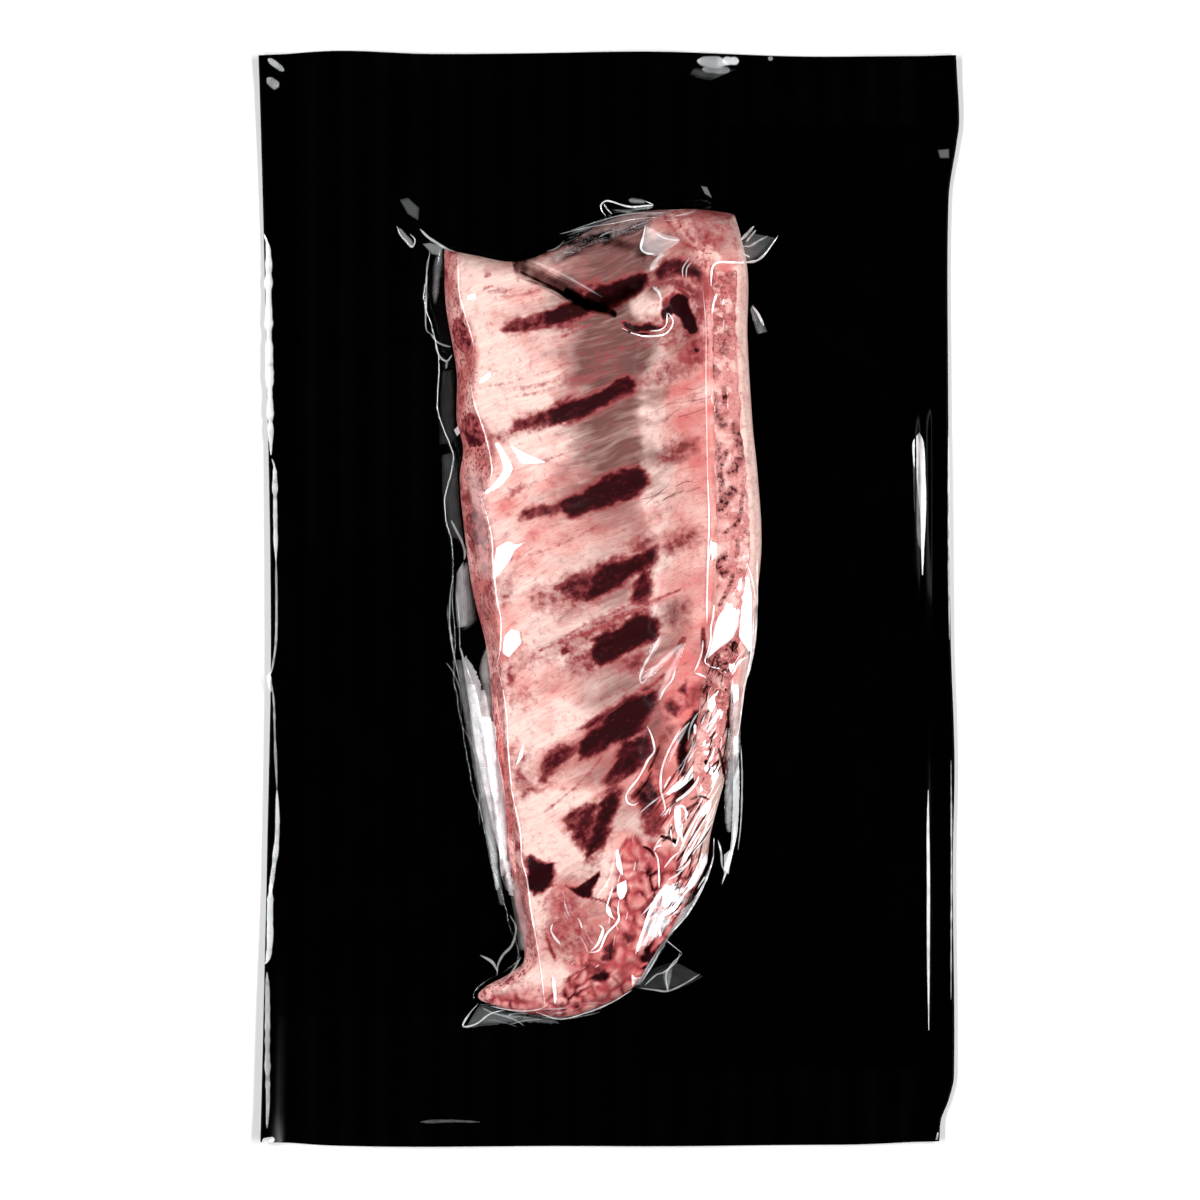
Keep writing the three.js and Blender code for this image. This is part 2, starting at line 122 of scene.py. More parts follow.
RIB_LINES = [
    [(-51.2, 93.5), (-13.5, 102.4), (9, 111), (26, 118.5)],
    [(-48.7, 59.5), (-22.8, 64.1), (8.5, 77.2), (31, 87)],
    [(-45.5, 25.4), (-17.4, 33.5), (8.5, 44.9), (30.5, 54.5)],
    [(-43.7, -2.3), (-17.4, 3.9), (8, 14.8), (30.5, 23.6)],
    [(-42.3, -30.7), (-11, -21), (14, -13.2), (28.7, -6)],
    [(-39.8, -71.5), (-17.8, -58.5), (3, -45.5), (18, -34)],
    [(-33.8, -101.7), (-15, -86), (-1, -72.5), (13, -54)],
    [(-32.5, -122), (-24, -114.5), (-15, -107.5), (-8.6, -102.5)],
]
RIB_HALF_WIDTH, RIB_HALF_THICKNESS, RIB_END_FLARE = 5, 3.6, 1.3
RIB_COVER, RIB_END_DROP = 1.6, 2.6
RIB_RIDGE, RIB_RIDGE_REACH = 1.1, 6.5
CHINE_ENDS = (-72, 117)
CHINE_INNER = [(-72, 30.5), (-58, 28), (-40, 30), (-20, 33.2), (0, 36), (40, 35.6), (117, 34.7)]
CHINE_SIDE_FAT = 4.2
CHINE_FLOOR = 12
DENTS = [  # x, y, reach across, reach along, height
    (24.5, 99.5, 4.5, 8, -6),
    (12, 101, 8, 7, 2.2),
    (-9, -101, 6, 5, -6),
    (20, -110, 5, 10, 3.5),
    (-16, -119, 9, 11, 2.4),
    (30, -34, 4, 7, -4),
]
RACK_FLOOR = WEB_THICKNESS + FIT_GAP


# ---- Curves and noise ----


def mix(a, b, f):
    return a + (b - a) * f


def ease(f):
    f = np.clip(f, 0, 1)
    return f * f * (3 - 2 * f)


def value_at(table, t):
    """Smooth value at t of a table of (position, value) rows, held past its ends."""
    places, values = np.array(table, float).T
    last = len(places) - 1
    before = np.maximum(np.arange(last + 1) - 1, 0)
    after = np.minimum(np.arange(last + 1) + 1, last)
    slopes = (values[after] - values[before]) / (places[after] - places[before])
    t = np.clip(t, places[0], places[-1])
    i = np.clip(np.searchsorted(places, t, side="right") - 1, 0, last - 1)
    span = places[i + 1] - places[i]
    f = (t - places[i]) / span
    leaving = f * (1 - f) ** 2 * span * slopes[i]
    arriving = f**2 * (f - 1) * span * slopes[i + 1]
    return mix(values[i], values[i + 1], ease(f)) + leaving + arriving


def noise(x, y, seed, octaves=1):
    """Smooth noise from about -1 to 1, with one feature per unit, and finer layers on top."""
    total, weight, reach = 0.0, 1.0, 0.0
    for octave in range(octaves):
        table = np.random.default_rng(seed + octave).uniform(-1, 1, (128, 128))
        ix, iy = np.floor(x).astype(int), np.floor(y).astype(int)
        fx, fy = ease(x - ix), ease(y - iy)
        low = mix(table[ix % 128, iy % 128], table[(ix + 1) % 128, iy % 128], fx)
        high = mix(table[ix % 128, (iy + 1) % 128], table[(ix + 1) % 128, (iy + 1) % 128], fx)
        total = total + weight * mix(low, high, fy)
        reach += weight
        x, y, weight = x * 2.03 + 17.3, y * 2.03 + 5.1, weight * 0.5
    return total / reach


def line_distance(x, y, line):
    """Distance to a line of points."""
    points = np.array(line, float)
    nearest = np.full(np.shape(x), np.inf)
    for start, end in zip(points[:-1], points[1:]):
        step = end - start
        f = np.clip(((x - start[0]) * step[0] + (y - start[1]) * step[1]) / (step @ step), 0, 1)
        nearest = np.minimum(nearest, np.hypot(x - start[0] - f * step[0], y - start[1] - f * step[1]))
    return nearest


def read_rows(table):
    """A table's rows, with every line of points, which is written "x,y x,y", as an array."""
    for row in table:
        yield [
            np.array([point.split(",") for point in cell.split()], float) if isinstance(cell, str) else cell
            for cell in row
        ]


def box_round(x, y, line, reach):
    """Which pixels lie in the box round a line, widened by a reach."""
    low, high = line.min(0) - reach, line.max(0) + reach
    return (x > low[0]) & (x < high[0]) & (y > low[1]) & (y < high[1])


def from_photo(x_px, y_px, height=0.0):
    """Place on the pack, in millimetres, that shows at a pixel of the photograph."""
    scale = MM_PER_PX * (1 - height / CAMERA_HEIGHT)
    return (x_px - PHOTO_CENTRE_PX) * scale + CAMERA_X, (PHOTO_CENTRE_PX - y_px) * scale + CAMERA_Y


def to_photo(x, y, z):
    """The pixel of the photograph at which a place on the pack shows."""
    scale = MM_PER_PX * (1 - z / CAMERA_HEIGHT)
    return (x - CAMERA_X) / scale + PHOTO_CENTRE_PX, PHOTO_CENTRE_PX - (y - CAMERA_Y) / scale


def smooth_line(points, step):
    """A list of points as a smooth line with about a step between its points."""
    points = np.array(points, float)
    if len(points) < 3:
        count = max(2, int(np.hypot(*(points[-1] - points[0])[:2]) / step) + 1)
        return np.linspace(points[0], points[-1], count)
    padded = np.vstack([2 * points[0] - points[1], points, 2 * points[-1] - points[-2]])
    out = []
    for a, b, c, d in zip(padded[:-3], padded[1:-2], padded[2:-1], padded[3:]):
        count = max(2, int(np.hypot(*(c - b)[:2]) / step) + 1)
        t = np.linspace(0, 1, count, endpoint=False)[:, None]
        out.append(0.5 * (2 * b + (c - a) * t + (2 * a - 5 * b + 4 * c - d) * t**2
                          + (3 * b - a - 3 * c + d) * t**3))
    return np.vstack([*out, points[-1:]])


# ---- The rack's surface ----


def plan_point(across, along):
    """The point of the table under a place on the rack."""
    left_y, right_y = mix(*RACK_LEFT_ENDS, along), mix(*RACK_RIGHT_ENDS, along)
    x = mix(value_at(RACK_LEFT, left_y), value_at(RACK_RIGHT, right_y), across)
    bottom = value_at(BOTTOM_END, across) * ease(1 - along / END_REACH)
    top = value_at(TOP_END, across) * ease(1 - (1 - along) / END_REACH)
    return x, mix(left_y, right_y, across) + bottom + top


def sawn_share(along):
    """How far across the sawn left face reaches."""
    left_y, right_y = mix(*RACK_LEFT_ENDS, along), mix(*RACK_RIGHT_ENDS, along)
    width = value_at(RACK_RIGHT, right_y) - value_at(RACK_LEFT, left_y)
    return value_at(SAWN_WIDTH, left_y) / width


def smooth_heights(across, along):
    """Heights of one row of the rack's smooth top, at one place along."""
    edge = float(value_at(SAWN_EDGE_HEIGHT, along))
    valley = float(value_at(VALLEY_HEIGHT, along))
    chine = float(value_at(CHINE_HEIGHT, along))
    section = [
        (float(sawn_share(along)), edge), (0.2, edge + 0.8), (0.33, mix(edge, valley, 0.4)),
        (0.47, valley + 0.3), (0.59, valley), (0.65, valley + 2), (0.73, mix(valley, chine, 0.5)),
        (0.81, chine - 3), (0.84, chine - 1.4), (0.9, chine), (0.955, chine - 1), (SHOULDER, chine - 5),
    ]
    return value_at(section, across)


def end_rounding(along):
    """Share of the full height near the rack's ends."""
    from_end = np.minimum(along, 1 - along) * RACK_LENGTH
    return np.sqrt(1 - (1 - np.clip(from_end / END_ROUNDING, 0, 1)) ** 2)


def place_over(x, y):
    """The place (across, along) on the rack that lies over a point of the table."""
    across, along = np.full(np.shape(x), 0.5), np.full(np.shape(x), 0.5)
    for _ in range(12):
        here_x, here_y = plan_point(across, along)
        left_x, right_x = plan_point(0 * along, along)[0], plan_point(0 * along + 1, along)[0]
        across = np.clip(across + (x - here_x) / (right_x - left_x), 0, 1)
        along = np.clip(along + (y - here_y) / RACK_LENGTH, 0, 1)
    return across, along


def grain_of(x, y):
    """Distances along and across the run of the ribs, which gets steeper towards the ragged end."""
    slope = 0.36 + 0.0026 * np.clip(30 - y, 0, 110)
    return x, y - slope * x + 3.5 * noise(x / 22, y / 22, 21, 2)


def lobes(x, y, pitch, seed):
    """Rounded lumps packed side by side: height from 0 in the seams to 1, and a draw for each lump."""
    rng = np.random.default_rng(seed)
    jitter = rng.uniform(-0.42, 0.42, (64, 64, 2))
    draw = rng.uniform(0, 1, (64, 64))
    u, v = x / pitch, y / pitch
    cell_u, cell_v = np.floor(u).astype(int), np.floor(v).astype(int)
    first = np.full(np.shape(u), 9.0)
    second = np.full(np.shape(u), 9.0)
    owner = np.zeros(np.shape(u))
    for du in (-1, 0, 1):
        for dv in (-1, 0, 1):
            a, b = cell_u + du, cell_v + dv
            shift = jitter[a % 64, b % 64]
            gap = np.hypot(a + 0.5 + shift[..., 0] - u, b + 0.5 + shift[..., 1] - v)
            nearer = gap < first
            second = np.where(nearer, first, np.minimum(second, gap))
            owner = np.where(nearer, draw[a % 64, b % 64], owner)
            first = np.where(nearer, gap, first)
    return ease((second - first) * 1.5), owner


FAT_PITCH = 6.9


def fat_lumps(x, y):
    """Lumps of fat, of uneven sizes, in pushed-about rows."""
    x, y = x + 2.8 * noise(x / 6, y / 6, 33, 3), y + 2.8 * noise(x / 6, y / 6, 34, 3)
    coarse, owner = lobes(x, y, FAT_PITCH, 5)
    small, small_owner = lobes(x + 40, y, FAT_PITCH * 0.7, 6)
    where_small = ease((noise(x / 9, y / 9, 35) - 0.1) * 4)
    return mix(coarse, small, where_small), mix(owner, small_owner, where_small)


def ragged_end(x, y):
    """How much of the surface is the loose lumps of fat at the ragged end."""
    line = -80 - 0.5 * (x - 12) + 4 * noise(x / 9, y / 9, 31)
    left = ease((x + 2 - 0.35 * (y + 90) + 3 * noise(x / 5, y / 5, 32)) / 5)
    tip = ease((-134 + 0.12 * x + 3 * noise(x / 6, y / 6, 37) - y) / 6)
    return np.maximum(ease((line - y) / 8) * left * ease((38 - x) / 8), 0.9 * tip)


def chine_strip(x, y):
    """How much of the surface is the sawn strip of backbone."""
    inner, outer = value_at(CHINE_INNER, y), value_at(RACK_RIGHT, y) - CHINE_SIDE_FAT
    lengthways = ease((y - CHINE_ENDS[0]) / 18) * ease((CHINE_ENDS[1] + 8 - y) / 14)
    return ease((x - inner) / 1.2) * ease((outer + 1 - x) / 2.4) * lengthways


def broad_relief(x, y):
    """The relief that the solids have too."""
    nearest = np.min([line_distance(x, y, line) for line in RIB_LINES], 0)
    ridge = RIB_RIDGE * ease(1 - nearest / RIB_RIDGE_REACH)
    dents = (h * np.exp(-(((x - cx) / rx) ** 2) - ((y - cy) / ry) ** 2) for cx, cy, rx, ry, h in DENTS)
    return ridge + sum(dents)


def fine_relief(x, y):
    """What only shows close up: streaks in the membrane, lumps of fat and the sawn bone's pores."""
    u, v = grain_of(x, y)
    streaks = 0.14 * noise(u / 9, v / 1.1, 1, 2) + 0.6 * noise(u / 17, v / 5, 3, 2)
    lump, owner = fat_lumps(x, y)
    fat = ragged_end(x, y) * (1.3 * lump + 1.1 * owner - 1.2)
    strip = chine_strip(x, y)
    pores = strip * (0.4 * noise(x / 1.5, y / 2.2, 7, 2) + 0.8 * noise(x / 5, y / 7, 9) - 0.5)
    groove = -0.8 * np.exp(-(((x - value_at(CHINE_INNER, y)) / 0.8) ** 2)) * ease((y + 60) / 14)
    return (1 - strip) * streaks + fat + pores + groove * ease((122 - y) / 8)


class Rack:
    """The rack's top over a grid of rows (places along) and columns (shares of the top's width)."""

    ROWS = 436
    FACE, TOP, WALL = 14, 182, 10  # columns up the sawn face, over the top and down the chine side

    def __init__(self):
        even = np.linspace(0, 1, self.ROWS)
        self.alongs = mix(even, 0.5 - 0.5 * np.cos(even * math.pi), 0.3)
        self.sawn = sawn_share(self.alongs)
        self.shares = np.linspace(0, 1, self.TOP)
        rows = []
        for along, sawn in zip(self.alongs, self.sawn):
            rows.append(smooth_heights(mix(sawn, SHOULDER, self.shares), along))
        self.smooth = np.array(rows)
        across = mix(self.sawn[:, None], SHOULDER, self.shares[None, :])
        self.x, self.y = plan_point(across, self.alongs[:, None] + 0 * across)
        relief = broad_relief(self.x, self.y) + fine_relief(self.x, self.y)
        rounding = end_rounding(self.alongs)[:, None]
        self.z = mix(RACK_FLOOR + SKIRT, self.smooth + relief, rounding)

    def surface(self):
        """The rack's whole surface, row by row: up the sawn face, over the top, down the chine side."""
        face = np.linspace(0, 1, self.FACE, endpoint=False)[None, :]
        along = self.alongs[:, None] + 0 * face
        face_x, face_y = plan_point(self.sawn[:, None] * face, along)
        swell = 0.8 * np.sin(face * math.pi) * noise(face_y / 6, face * 2, 41, 2)
        edge = self.z[:, :1]
        face_z = mix(RACK_FLOOR + SKIRT, edge, face**FACE_CURVE) + swell * end_rounding(along)
        share = np.linspace(1, 0, self.WALL + 1)[None, 1:]
        along = self.alongs[:, None] + 0 * share
        across = value_at(CHINE_WALL, share) + 0 * along
        wall_x, wall_y = plan_point(across, along)
        wall_z = mix(RACK_FLOOR + SKIRT, self.z[:, -1:], share)
        x = np.hstack([face_x, self.x, wall_x])
        y = np.hstack([face_y, self.y, wall_y])
        return np.stack([x, y, np.hstack([face_z, self.z, wall_z])], -1)

    def over(self, x, y):
        """Height of the rack over points of the table, and 0 beside it."""
        across, along = place_over(x, y)
        here_x, here_y = plan_point(across, along)
        row = np.interp(along, self.alongs, np.arange(self.ROWS))
        sawn = sawn_share(along)
        column = np.clip((across - sawn) / (SHOULDER - sawn), 0, 1) * (self.TOP - 1)
        z = bilinear(self.z, row, column)
        face = mix(RACK_FLOOR + SKIRT, z, np.clip(across / sawn, 0, 1) ** FACE_CURVE)
        wall = value_at([(place, height) for height, place in CHINE_WALL[::-1]], across)
        z = np.where(across < sawn, face, mix(RACK_FLOOR + SKIRT, z, wall))
        return np.where(np.hypot(x - here_x, y - here_y) < 0.5, z, 0)


def bilinear(field, row, column):
    """A grid's value between its rows and columns."""
    i = np.clip(np.floor(row).astype(int), 0, field.shape[0] - 2)
    j = np.clip(np.floor(column).astype(int), 0, field.shape[1] - 2)
    fi, fj = np.clip(row - i, 0, 1), np.clip(column - j, 0, 1)
    near = mix(field[i, j], field[i, j + 1], fj)
    return mix(near, mix(field[i + 1, j], field[i + 1, j + 1], fj), fi)


# ---- Meshes ----


def mesh_object(name, points, face_sets, slot, replaced=()):
    """A smooth piece from points in millimetres and sets of faces, each with one number of corners."""
    mesh = bpy.data.meshes.new(name)
    points = np.asarray(points, np.float32).reshape(-1, 3) * METRES_PER_MM
    corners = np.concatenate([np.asarray(faces, np.int32).ravel() for faces in face_sets])
    sizes = np.concatenate([np.full(len(faces), len(faces[0])) for faces in face_sets])
    mesh.vertices.add(len(points))
    mesh.vertices.foreach_set("co", np.ascontiguousarray(points).ravel())
    mesh.loops.add(len(corners))
    mesh.loops.foreach_set("vertex_index", corners)
    mesh.polygons.add(len(sizes))
    mesh.polygons.foreach_set("loop_start", (np.cumsum(sizes) - sizes).astype(np.int32))
    mesh.polygons.foreach_set("use_smooth", np.ones(len(sizes), bool))
    mesh.update(calc_edges=True)
    piece = bpy.data.objects.new(name, mesh)
    bpy.context.scene.collection.objects.link(piece)
    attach(piece, "root")
    if replaced:
        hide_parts(*replaced)
    return piece


def grid_faces(rows, columns, start=0):
    i, j = np.meshgrid(np.arange(rows - 1), np.arange(columns - 1), indexing="ij")
    a = start + i * columns + j
    return np.stack([a, a + 1, a + columns + 1, a + columns], -1).reshape(-1, 4)


def rim_of(rows, columns):
    """Indices round the rim of a grid, anticlockwise from above."""
    bottom = np.arange(columns)
    right = np.arange(1, rows) * columns + columns - 1
    top = (rows - 1) * columns + np.arange(columns - 2, -1, -1)
    left = np.arange(rows - 2, 0, -1) * columns
    return np.concatenate([bottom, right, top, left])


def walls(upper_rim, lower_rim):
    """Faces that join two rims of equally many points."""
    return np.stack([lower_rim, np.roll(lower_rim, -1), np.roll(upper_rim, -1), upper_rim], -1)


def mound(upper, floor):
    """Points and faces of a grid of points over one flat floor."""
    rows, columns = upper.shape[:2]
    points = upper.reshape(-1, 3)
    rim = rim_of(rows, columns)
    lower = points[rim].copy()
    lower[:, 2] = floor
    lower_rim = len(points) + np.arange(len(rim))
    faces = [grid_faces(rows, columns), walls(rim, lower_rim), lower_rim[None, ::-1]]
    return np.vstack([points, lower]), faces


def sheet(upper, thickness):
    """Points and faces of a grid of points with a thickness under it."""
    rows, columns = upper.shape[:2]
    points = upper.reshape(-1, 3)
    count = len(points)
    rim = rim_of(rows, columns)
    under = grid_faces(rows, columns, count)[:, ::-1]
    faces = [grid_faces(rows, columns), under, walls(rim, rim + count)]
    return np.vstack([points, points - [0, 0, thickness]]), faces


def tube(rings):
    """Points and faces of a body through rings of equally many points, with both ends closed."""
    count, sides = rings.shape[:2]
    i, j = np.meshgrid(np.arange(count - 1), np.arange(sides), indexing="ij")
    k = (j + 1) % sides
    faces = np.stack([i * sides + j, i * sides + k, (i + 1) * sides + k, (i + 1) * sides + j], -1)
    ends = [np.arange(sides)[None, ::-1], (count - 1) * sides + np.arange(sides)[None, :]]
    return rings.reshape(-1, 3), [faces.reshape(-1, 4), *ends]


def give_attribute(piece, name, values):
    """A number for each vertex, which the piece's material reads."""
    attribute = piece.data.attributes.new(name, "FLOAT", "POINT")
    attribute.data.foreach_set("value", np.ascontiguousarray(values, np.float32).ravel())


def give_vectors(piece, name, values):
    attribute = piece.data.attributes.new(name, "FLOAT_VECTOR", "POINT")
    attribute.data.foreach_set("vector", np.ascontiguousarray(values, np.float32).ravel())


# ---- Materials ----

CLEAR = (1, 1, 1, 1)
# The white of the film's haze, which is partly painted highlight and painted reflection.
MILKY_HIGHLIGHT_WHITE = (246, 249, 251)
FILM_IOR = 1.5


def paint(red, green, blue):
    """An sRGB colour, as judged from the photograph, as the shader's linear colour."""
    linear = [((c / 255 + 0.055) / 1.055) ** 2.4 if c > 10 else c / 255 / 12.92 for c in (red, green, blue)]
    return (*linear, 1.0)


class Nodes:
    """A material's node tree, with a short call for each kind of node it uses."""

    def __init__(self, name):
        self.material = bpy.data.materials.new(name)
        self.material.use_nodes = True
        self.tree = self.material.node_tree
        self.shader = self.tree.nodes["Principled BSDF"]
        self.output = self.tree.nodes["Material Output"]

    def add(self, kind, inputs=None, **settings):
        node = self.tree.nodes.new(kind)
        for key, value in settings.items():
            setattr(node, key, value)
        for key, value in (inputs or {}).items():
            self.put(node.inputs[key], value)
        return node

    def put(self, socket, value):
        if isinstance(value, bpy.types.NodeSocket):
            self.tree.links.new(value, socket)
        else:
            socket.default_value = value

    def attribute(self, name, output="Fac"):
        return self.add("ShaderNodeAttribute", attribute_name=name).outputs[output]

    def math(self, operation, a, b=0.0, clamped=False):
        return self.add("ShaderNodeMath", {0: a, 1: b}, operation=operation, use_clamp=clamped).outputs[0]

    def position(self, kind="Object"):
        return self.add("ShaderNodeTexCoord").outputs[kind]

    def noise(self, scale, detail, roughness, vector=None):
        """Noise over the piece, or over another vector."""
        place = self.position() if vector is None else vector
        inputs = {"Scale": scale, "Detail": detail, "Roughness": roughness, "Vector": place}
        return self.add("ShaderNodeTexNoise", inputs).outputs["Fac"]

    def spread(self, value, low, high, to_low=0.0, to_high=1.0):
        inputs = {"Value": value, "From Min": low, "From Max": high, "To Min": to_low, "To Max": to_high}
        return self.add("ShaderNodeMapRange", inputs).outputs[0]

    def blend(self, factor, a, b):
        """A colour between two, read from the colour sockets of the mixing node."""
        return self.add("ShaderNodeMix", {0: factor, 6: a, 7: b}, data_type="RGBA").outputs[2]

    def bump(self, height, strength, distance):
        inputs = {"Height": height, "Strength": strength, "Distance": distance}
        return self.add("ShaderNodeBump", inputs).outputs[0]

    def set(self, **values):
        """Values of the shader's inputs, with _ for the spaces in their names."""
        for key, value in values.items():
            self.put(self.shader.inputs[key.replace("_", " ")], value)


def meat_material():
    m = Nodes("raw_pork")
    grain = m.attribute("grain", "Vector")
    streak = m.noise(1.0, 2, 0.6, grain)
    mottle = m.noise(130, 3, 0.6)
    speck = m.noise(900, 1, 0.6)
    blotch = m.noise(55, 2, 0.6)
    base = m.blend(m.spread(streak, 0.3, 0.66), paint(252, 220, 210), paint(243, 204, 195))
    pink = m.math("ADD", m.attribute("pink"), m.spread(blotch, 0.35, 0.65, -0.25, 0.25))
    pink = m.math("ADD", pink, m.spread(mottle, 0.3, 0.7, -0.2, 0.2), True)
    base = m.blend(pink, base, paint(221, 119, 116))
    fibre = m.noise(2.6, 1, 0.6, grain)
    fibre = m.math("MULTIPLY", m.spread(fibre, 0.5, 0.68, 0, 0.9), m.spread(pink, 0.0, 0.5, 0.25, 0.8), True)
    base = m.blend(fibre, base, paint(214, 138, 130))
    hair = m.spread(m.math("ABSOLUTE", m.math("SUBTRACT", streak, 0.5)), 0.0, 0.01, 0.6, 0)
    hair = m.math("MULTIPLY", hair, m.spread(mottle, 0.5, 0.6), True)
    base = m.blend(hair, base, paint(172, 96, 94))
    # Painted shade: a grey-brown laid over the meat where shade falls, in the valley between the sawn edge
    # and the chine and under the film's folds.
    painted_shade = m.math("MULTIPLY", m.attribute("painted_shade"), m.spread(streak, 0.3, 0.7, 0.85, 1.1), True)
    base = m.blend(painted_shade, base, paint(114, 75, 72))
    fat = m.blend(m.attribute("owner"), paint(174, 72, 78), paint(242, 174, 167))
    fat = m.blend(m.spread(mottle, 0.42, 0.7, 0, 0.7), fat, paint(206, 92, 94))
    base = m.blend(m.attribute("fat"), base, fat)
    raw = m.blend(m.spread(blotch, 0.4, 0.6), paint(255, 192, 186), paint(216, 126, 122))
    raw = m.blend(m.spread(mottle, 0.5, 0.64), raw, paint(158, 70, 74))
    raw = m.blend(m.spread(mottle, 0.3, 0.42, 0.7, 0), raw, paint(150, 92, 88))
    raw = m.blend(m.spread(speck, 0.54, 0.7), raw, paint(120, 34, 42))
    base = m.blend(m.attribute("raw"), base, raw)
    ragged = m.spread(m.noise(420, 2, 0.65), 0.25, 0.75, -0.22, 0.22)
    stripe = m.math("ADD", m.attribute("stripe"), ragged)
    base = m.blend(m.spread(stripe, 0.02, 0.5), base, paint(156, 76, 76))
    base = m.blend(m.spread(stripe, 0.38, 0.8), base, paint(84, 20, 28))
    base = m.blend(m.spread(stripe, 0.72, 1.1), base, paint(42, 6, 9))
    # Dark red of blood and of the seams between lumps; some marks of this kind are painted shade in hollows
    # and under folds.
    blood_and_shade = m.math("ADD", m.attribute("blood_and_shade"), ragged)
    base = m.blend(m.spread(blood_and_shade, 0.14, 0.6), base, paint(158, 66, 70))
    base = m.blend(m.spread(blood_and_shade, 0.55, 1.0), base, paint(38, 5, 10))
    m.set(Base_Color=base, Roughness=m.spread(mottle, 0.3, 0.7, 0.5, 0.65), Specular_IOR_Level=0.05)
    m.set(Normal=m.bump(streak, 0.3, 0.0004))
    return m.material


def rib_material():
    m = Nodes("sawn_rib")
    pores = m.noise(520, 3, 0.65)
    blotch = m.noise(240, 2, 0.6)
    bloody = m.blend(m.spread(pores, 0.4, 0.62), paint(206, 104, 106), paint(112, 26, 38))
    bloody = m.blend(m.spread(blotch, 0.45, 0.64), bloody, paint(70, 12, 22))
    washed = m.blend(m.spread(pores, 0.4, 0.6), paint(232, 158, 152), paint(170, 92, 90))
    base = m.blend(m.attribute("bloody"), washed, bloody)
    m.set(Base_Color=base, Roughness=m.spread(blotch, 0.3, 0.7, 0.4, 0.6), Specular_IOR_Level=0.08)
    m.set(Normal=m.bump(pores, 0.5, 0.0005))
    return m.material


def chine_material():
    m = Nodes("sawn_backbone")
    speck = m.noise(620, 3, 0.7)
    curl = m.noise(190, 5, 0.7)
    broad = m.noise(38, 3, 0.6)
    base = m.blend(m.spread(broad, 0.38, 0.62), paint(238, 172, 166), paint(210, 120, 118))
    base = m.blend(m.spread(curl, 0.5, 0.66), base, paint(252, 206, 198))
    base = m.blend(m.spread(curl, 0.34, 0.48, 0.9, 0), base, paint(158, 72, 76))
    line = m.spread(m.math("ABSOLUTE", m.math("SUBTRACT", curl, 0.51)), 0.0, 0.02, 0.8, 0)
    base = m.blend(m.math("MULTIPLY", line, m.spread(broad, 0.36, 0.5)), base, paint(128, 48, 54))
    dark = m.attribute("dark")
    base = m.blend(m.math("MULTIPLY", dark, 0.7, True), base, paint(146, 66, 68))
    pitted = m.math("ADD", dark, m.spread(broad, 0.5, 0.6, 0, 0.5))
    pits = m.math("MULTIPLY", m.spread(speck, 0.5, 0.56), pitted, True)
    base = m.blend(pits, base, paint(58, 16, 20))
    m.set(Base_Color=base, Roughness=m.spread(speck, 0.3, 0.7, 0.5, 0.7), Specular_IOR_Level=0.06)
    m.set(Normal=m.bump(curl, 0.6, 0.0008))
    return m.material


def clear_film_material(name, embossed=False):
    """Thin film: what it doesn't mirror goes straight through, but for haze where it is folded, a milky
    white that is partly painted highlight and painted reflection.
    """
    m = Nodes(name)
    m.tree.nodes.remove(m.shader)
    ripple = m.add("ShaderNodeTexWave", {"Scale": 25.0, "Vector": m.position()}).outputs["Fac"]
    polish = m.spread(ripple, 0, 1, 0.07, 0.13)
    gloss = m.add("ShaderNodeBsdfGlossy", {"Color": CLEAR, "Roughness": polish})
    through = m.add("ShaderNodeBsdfTransparent", {"Color": CLEAR})
    # The haze is lit from the front and from behind at once, so that folds of it read as bright as
    # highlights.
    front = m.add("ShaderNodeBsdfDiffuse", {"Color": paint(*MILKY_HIGHLIGHT_WHITE)})
    back = m.add("ShaderNodeBsdfTranslucent", {"Color": paint(*MILKY_HIGHLIGHT_WHITE)})
    haze_and_highlight = m.add("ShaderNodeAddShader", {0: front.outputs[0], 1: back.outputs[0]})
    haze = m.attribute("haze")
    # On the seal, the painted highlight is broken up by the embossed pattern.
    if embossed:
        weave = m.add("ShaderNodeTexChecker", {"Scale": 2300.0, "Vector": m.position()}).outputs["Fac"]
        haze = m.math("MULTIPLY", haze, m.spread(weave, 0, 1, 0.35, 1.0), True)
    body = m.add("ShaderNodeMixShader", {0: haze, 1: through.outputs[0], 2: haze_and_highlight.outputs[0]})
    fresnel = m.add("ShaderNodeFresnel", {"IOR": FILM_IOR}).outputs[0]
    mirror = m.math("MULTIPLY", m.math("MULTIPLY", fresnel, 2.0), m.attribute("shine"), True)
    film = m.add("ShaderNodeMixShader", {0: mirror, 1: body.outputs[0], 2: gloss.outputs[0]})
    m.tree.links.new(film.outputs[0], m.output.inputs["Surface"])
    return m.material


def shaded_film_material():
    """Film folded over on itself, drawn as painted shade: the meat shows darker and browner through it."""
    m = Nodes("painted_shade_film")
    m.tree.nodes.remove(m.shader)
    uneven = m.noise(260, 1, 0.5)
    # Here the haze attribute is the depth of the painted shade.
    depth = m.math("MULTIPLY", m.attribute("haze"), m.spread(uneven, 0.3, 0.7, 0.85, 1.1))
    # Painted shade: brown for a light fold, near black for a deep one.
    tint = m.blend(m.spread(depth, 0, 0.8), CLEAR, paint(112, 66, 64))
    tint = m.blend(m.spread(depth, 0.7, 1.0), tint, paint(36, 14, 16))
    through = m.add("ShaderNodeBsdfTransparent", {"Color": tint})
    m.tree.links.new(through.outputs[0], m.output.inputs["Surface"])
    return m.material


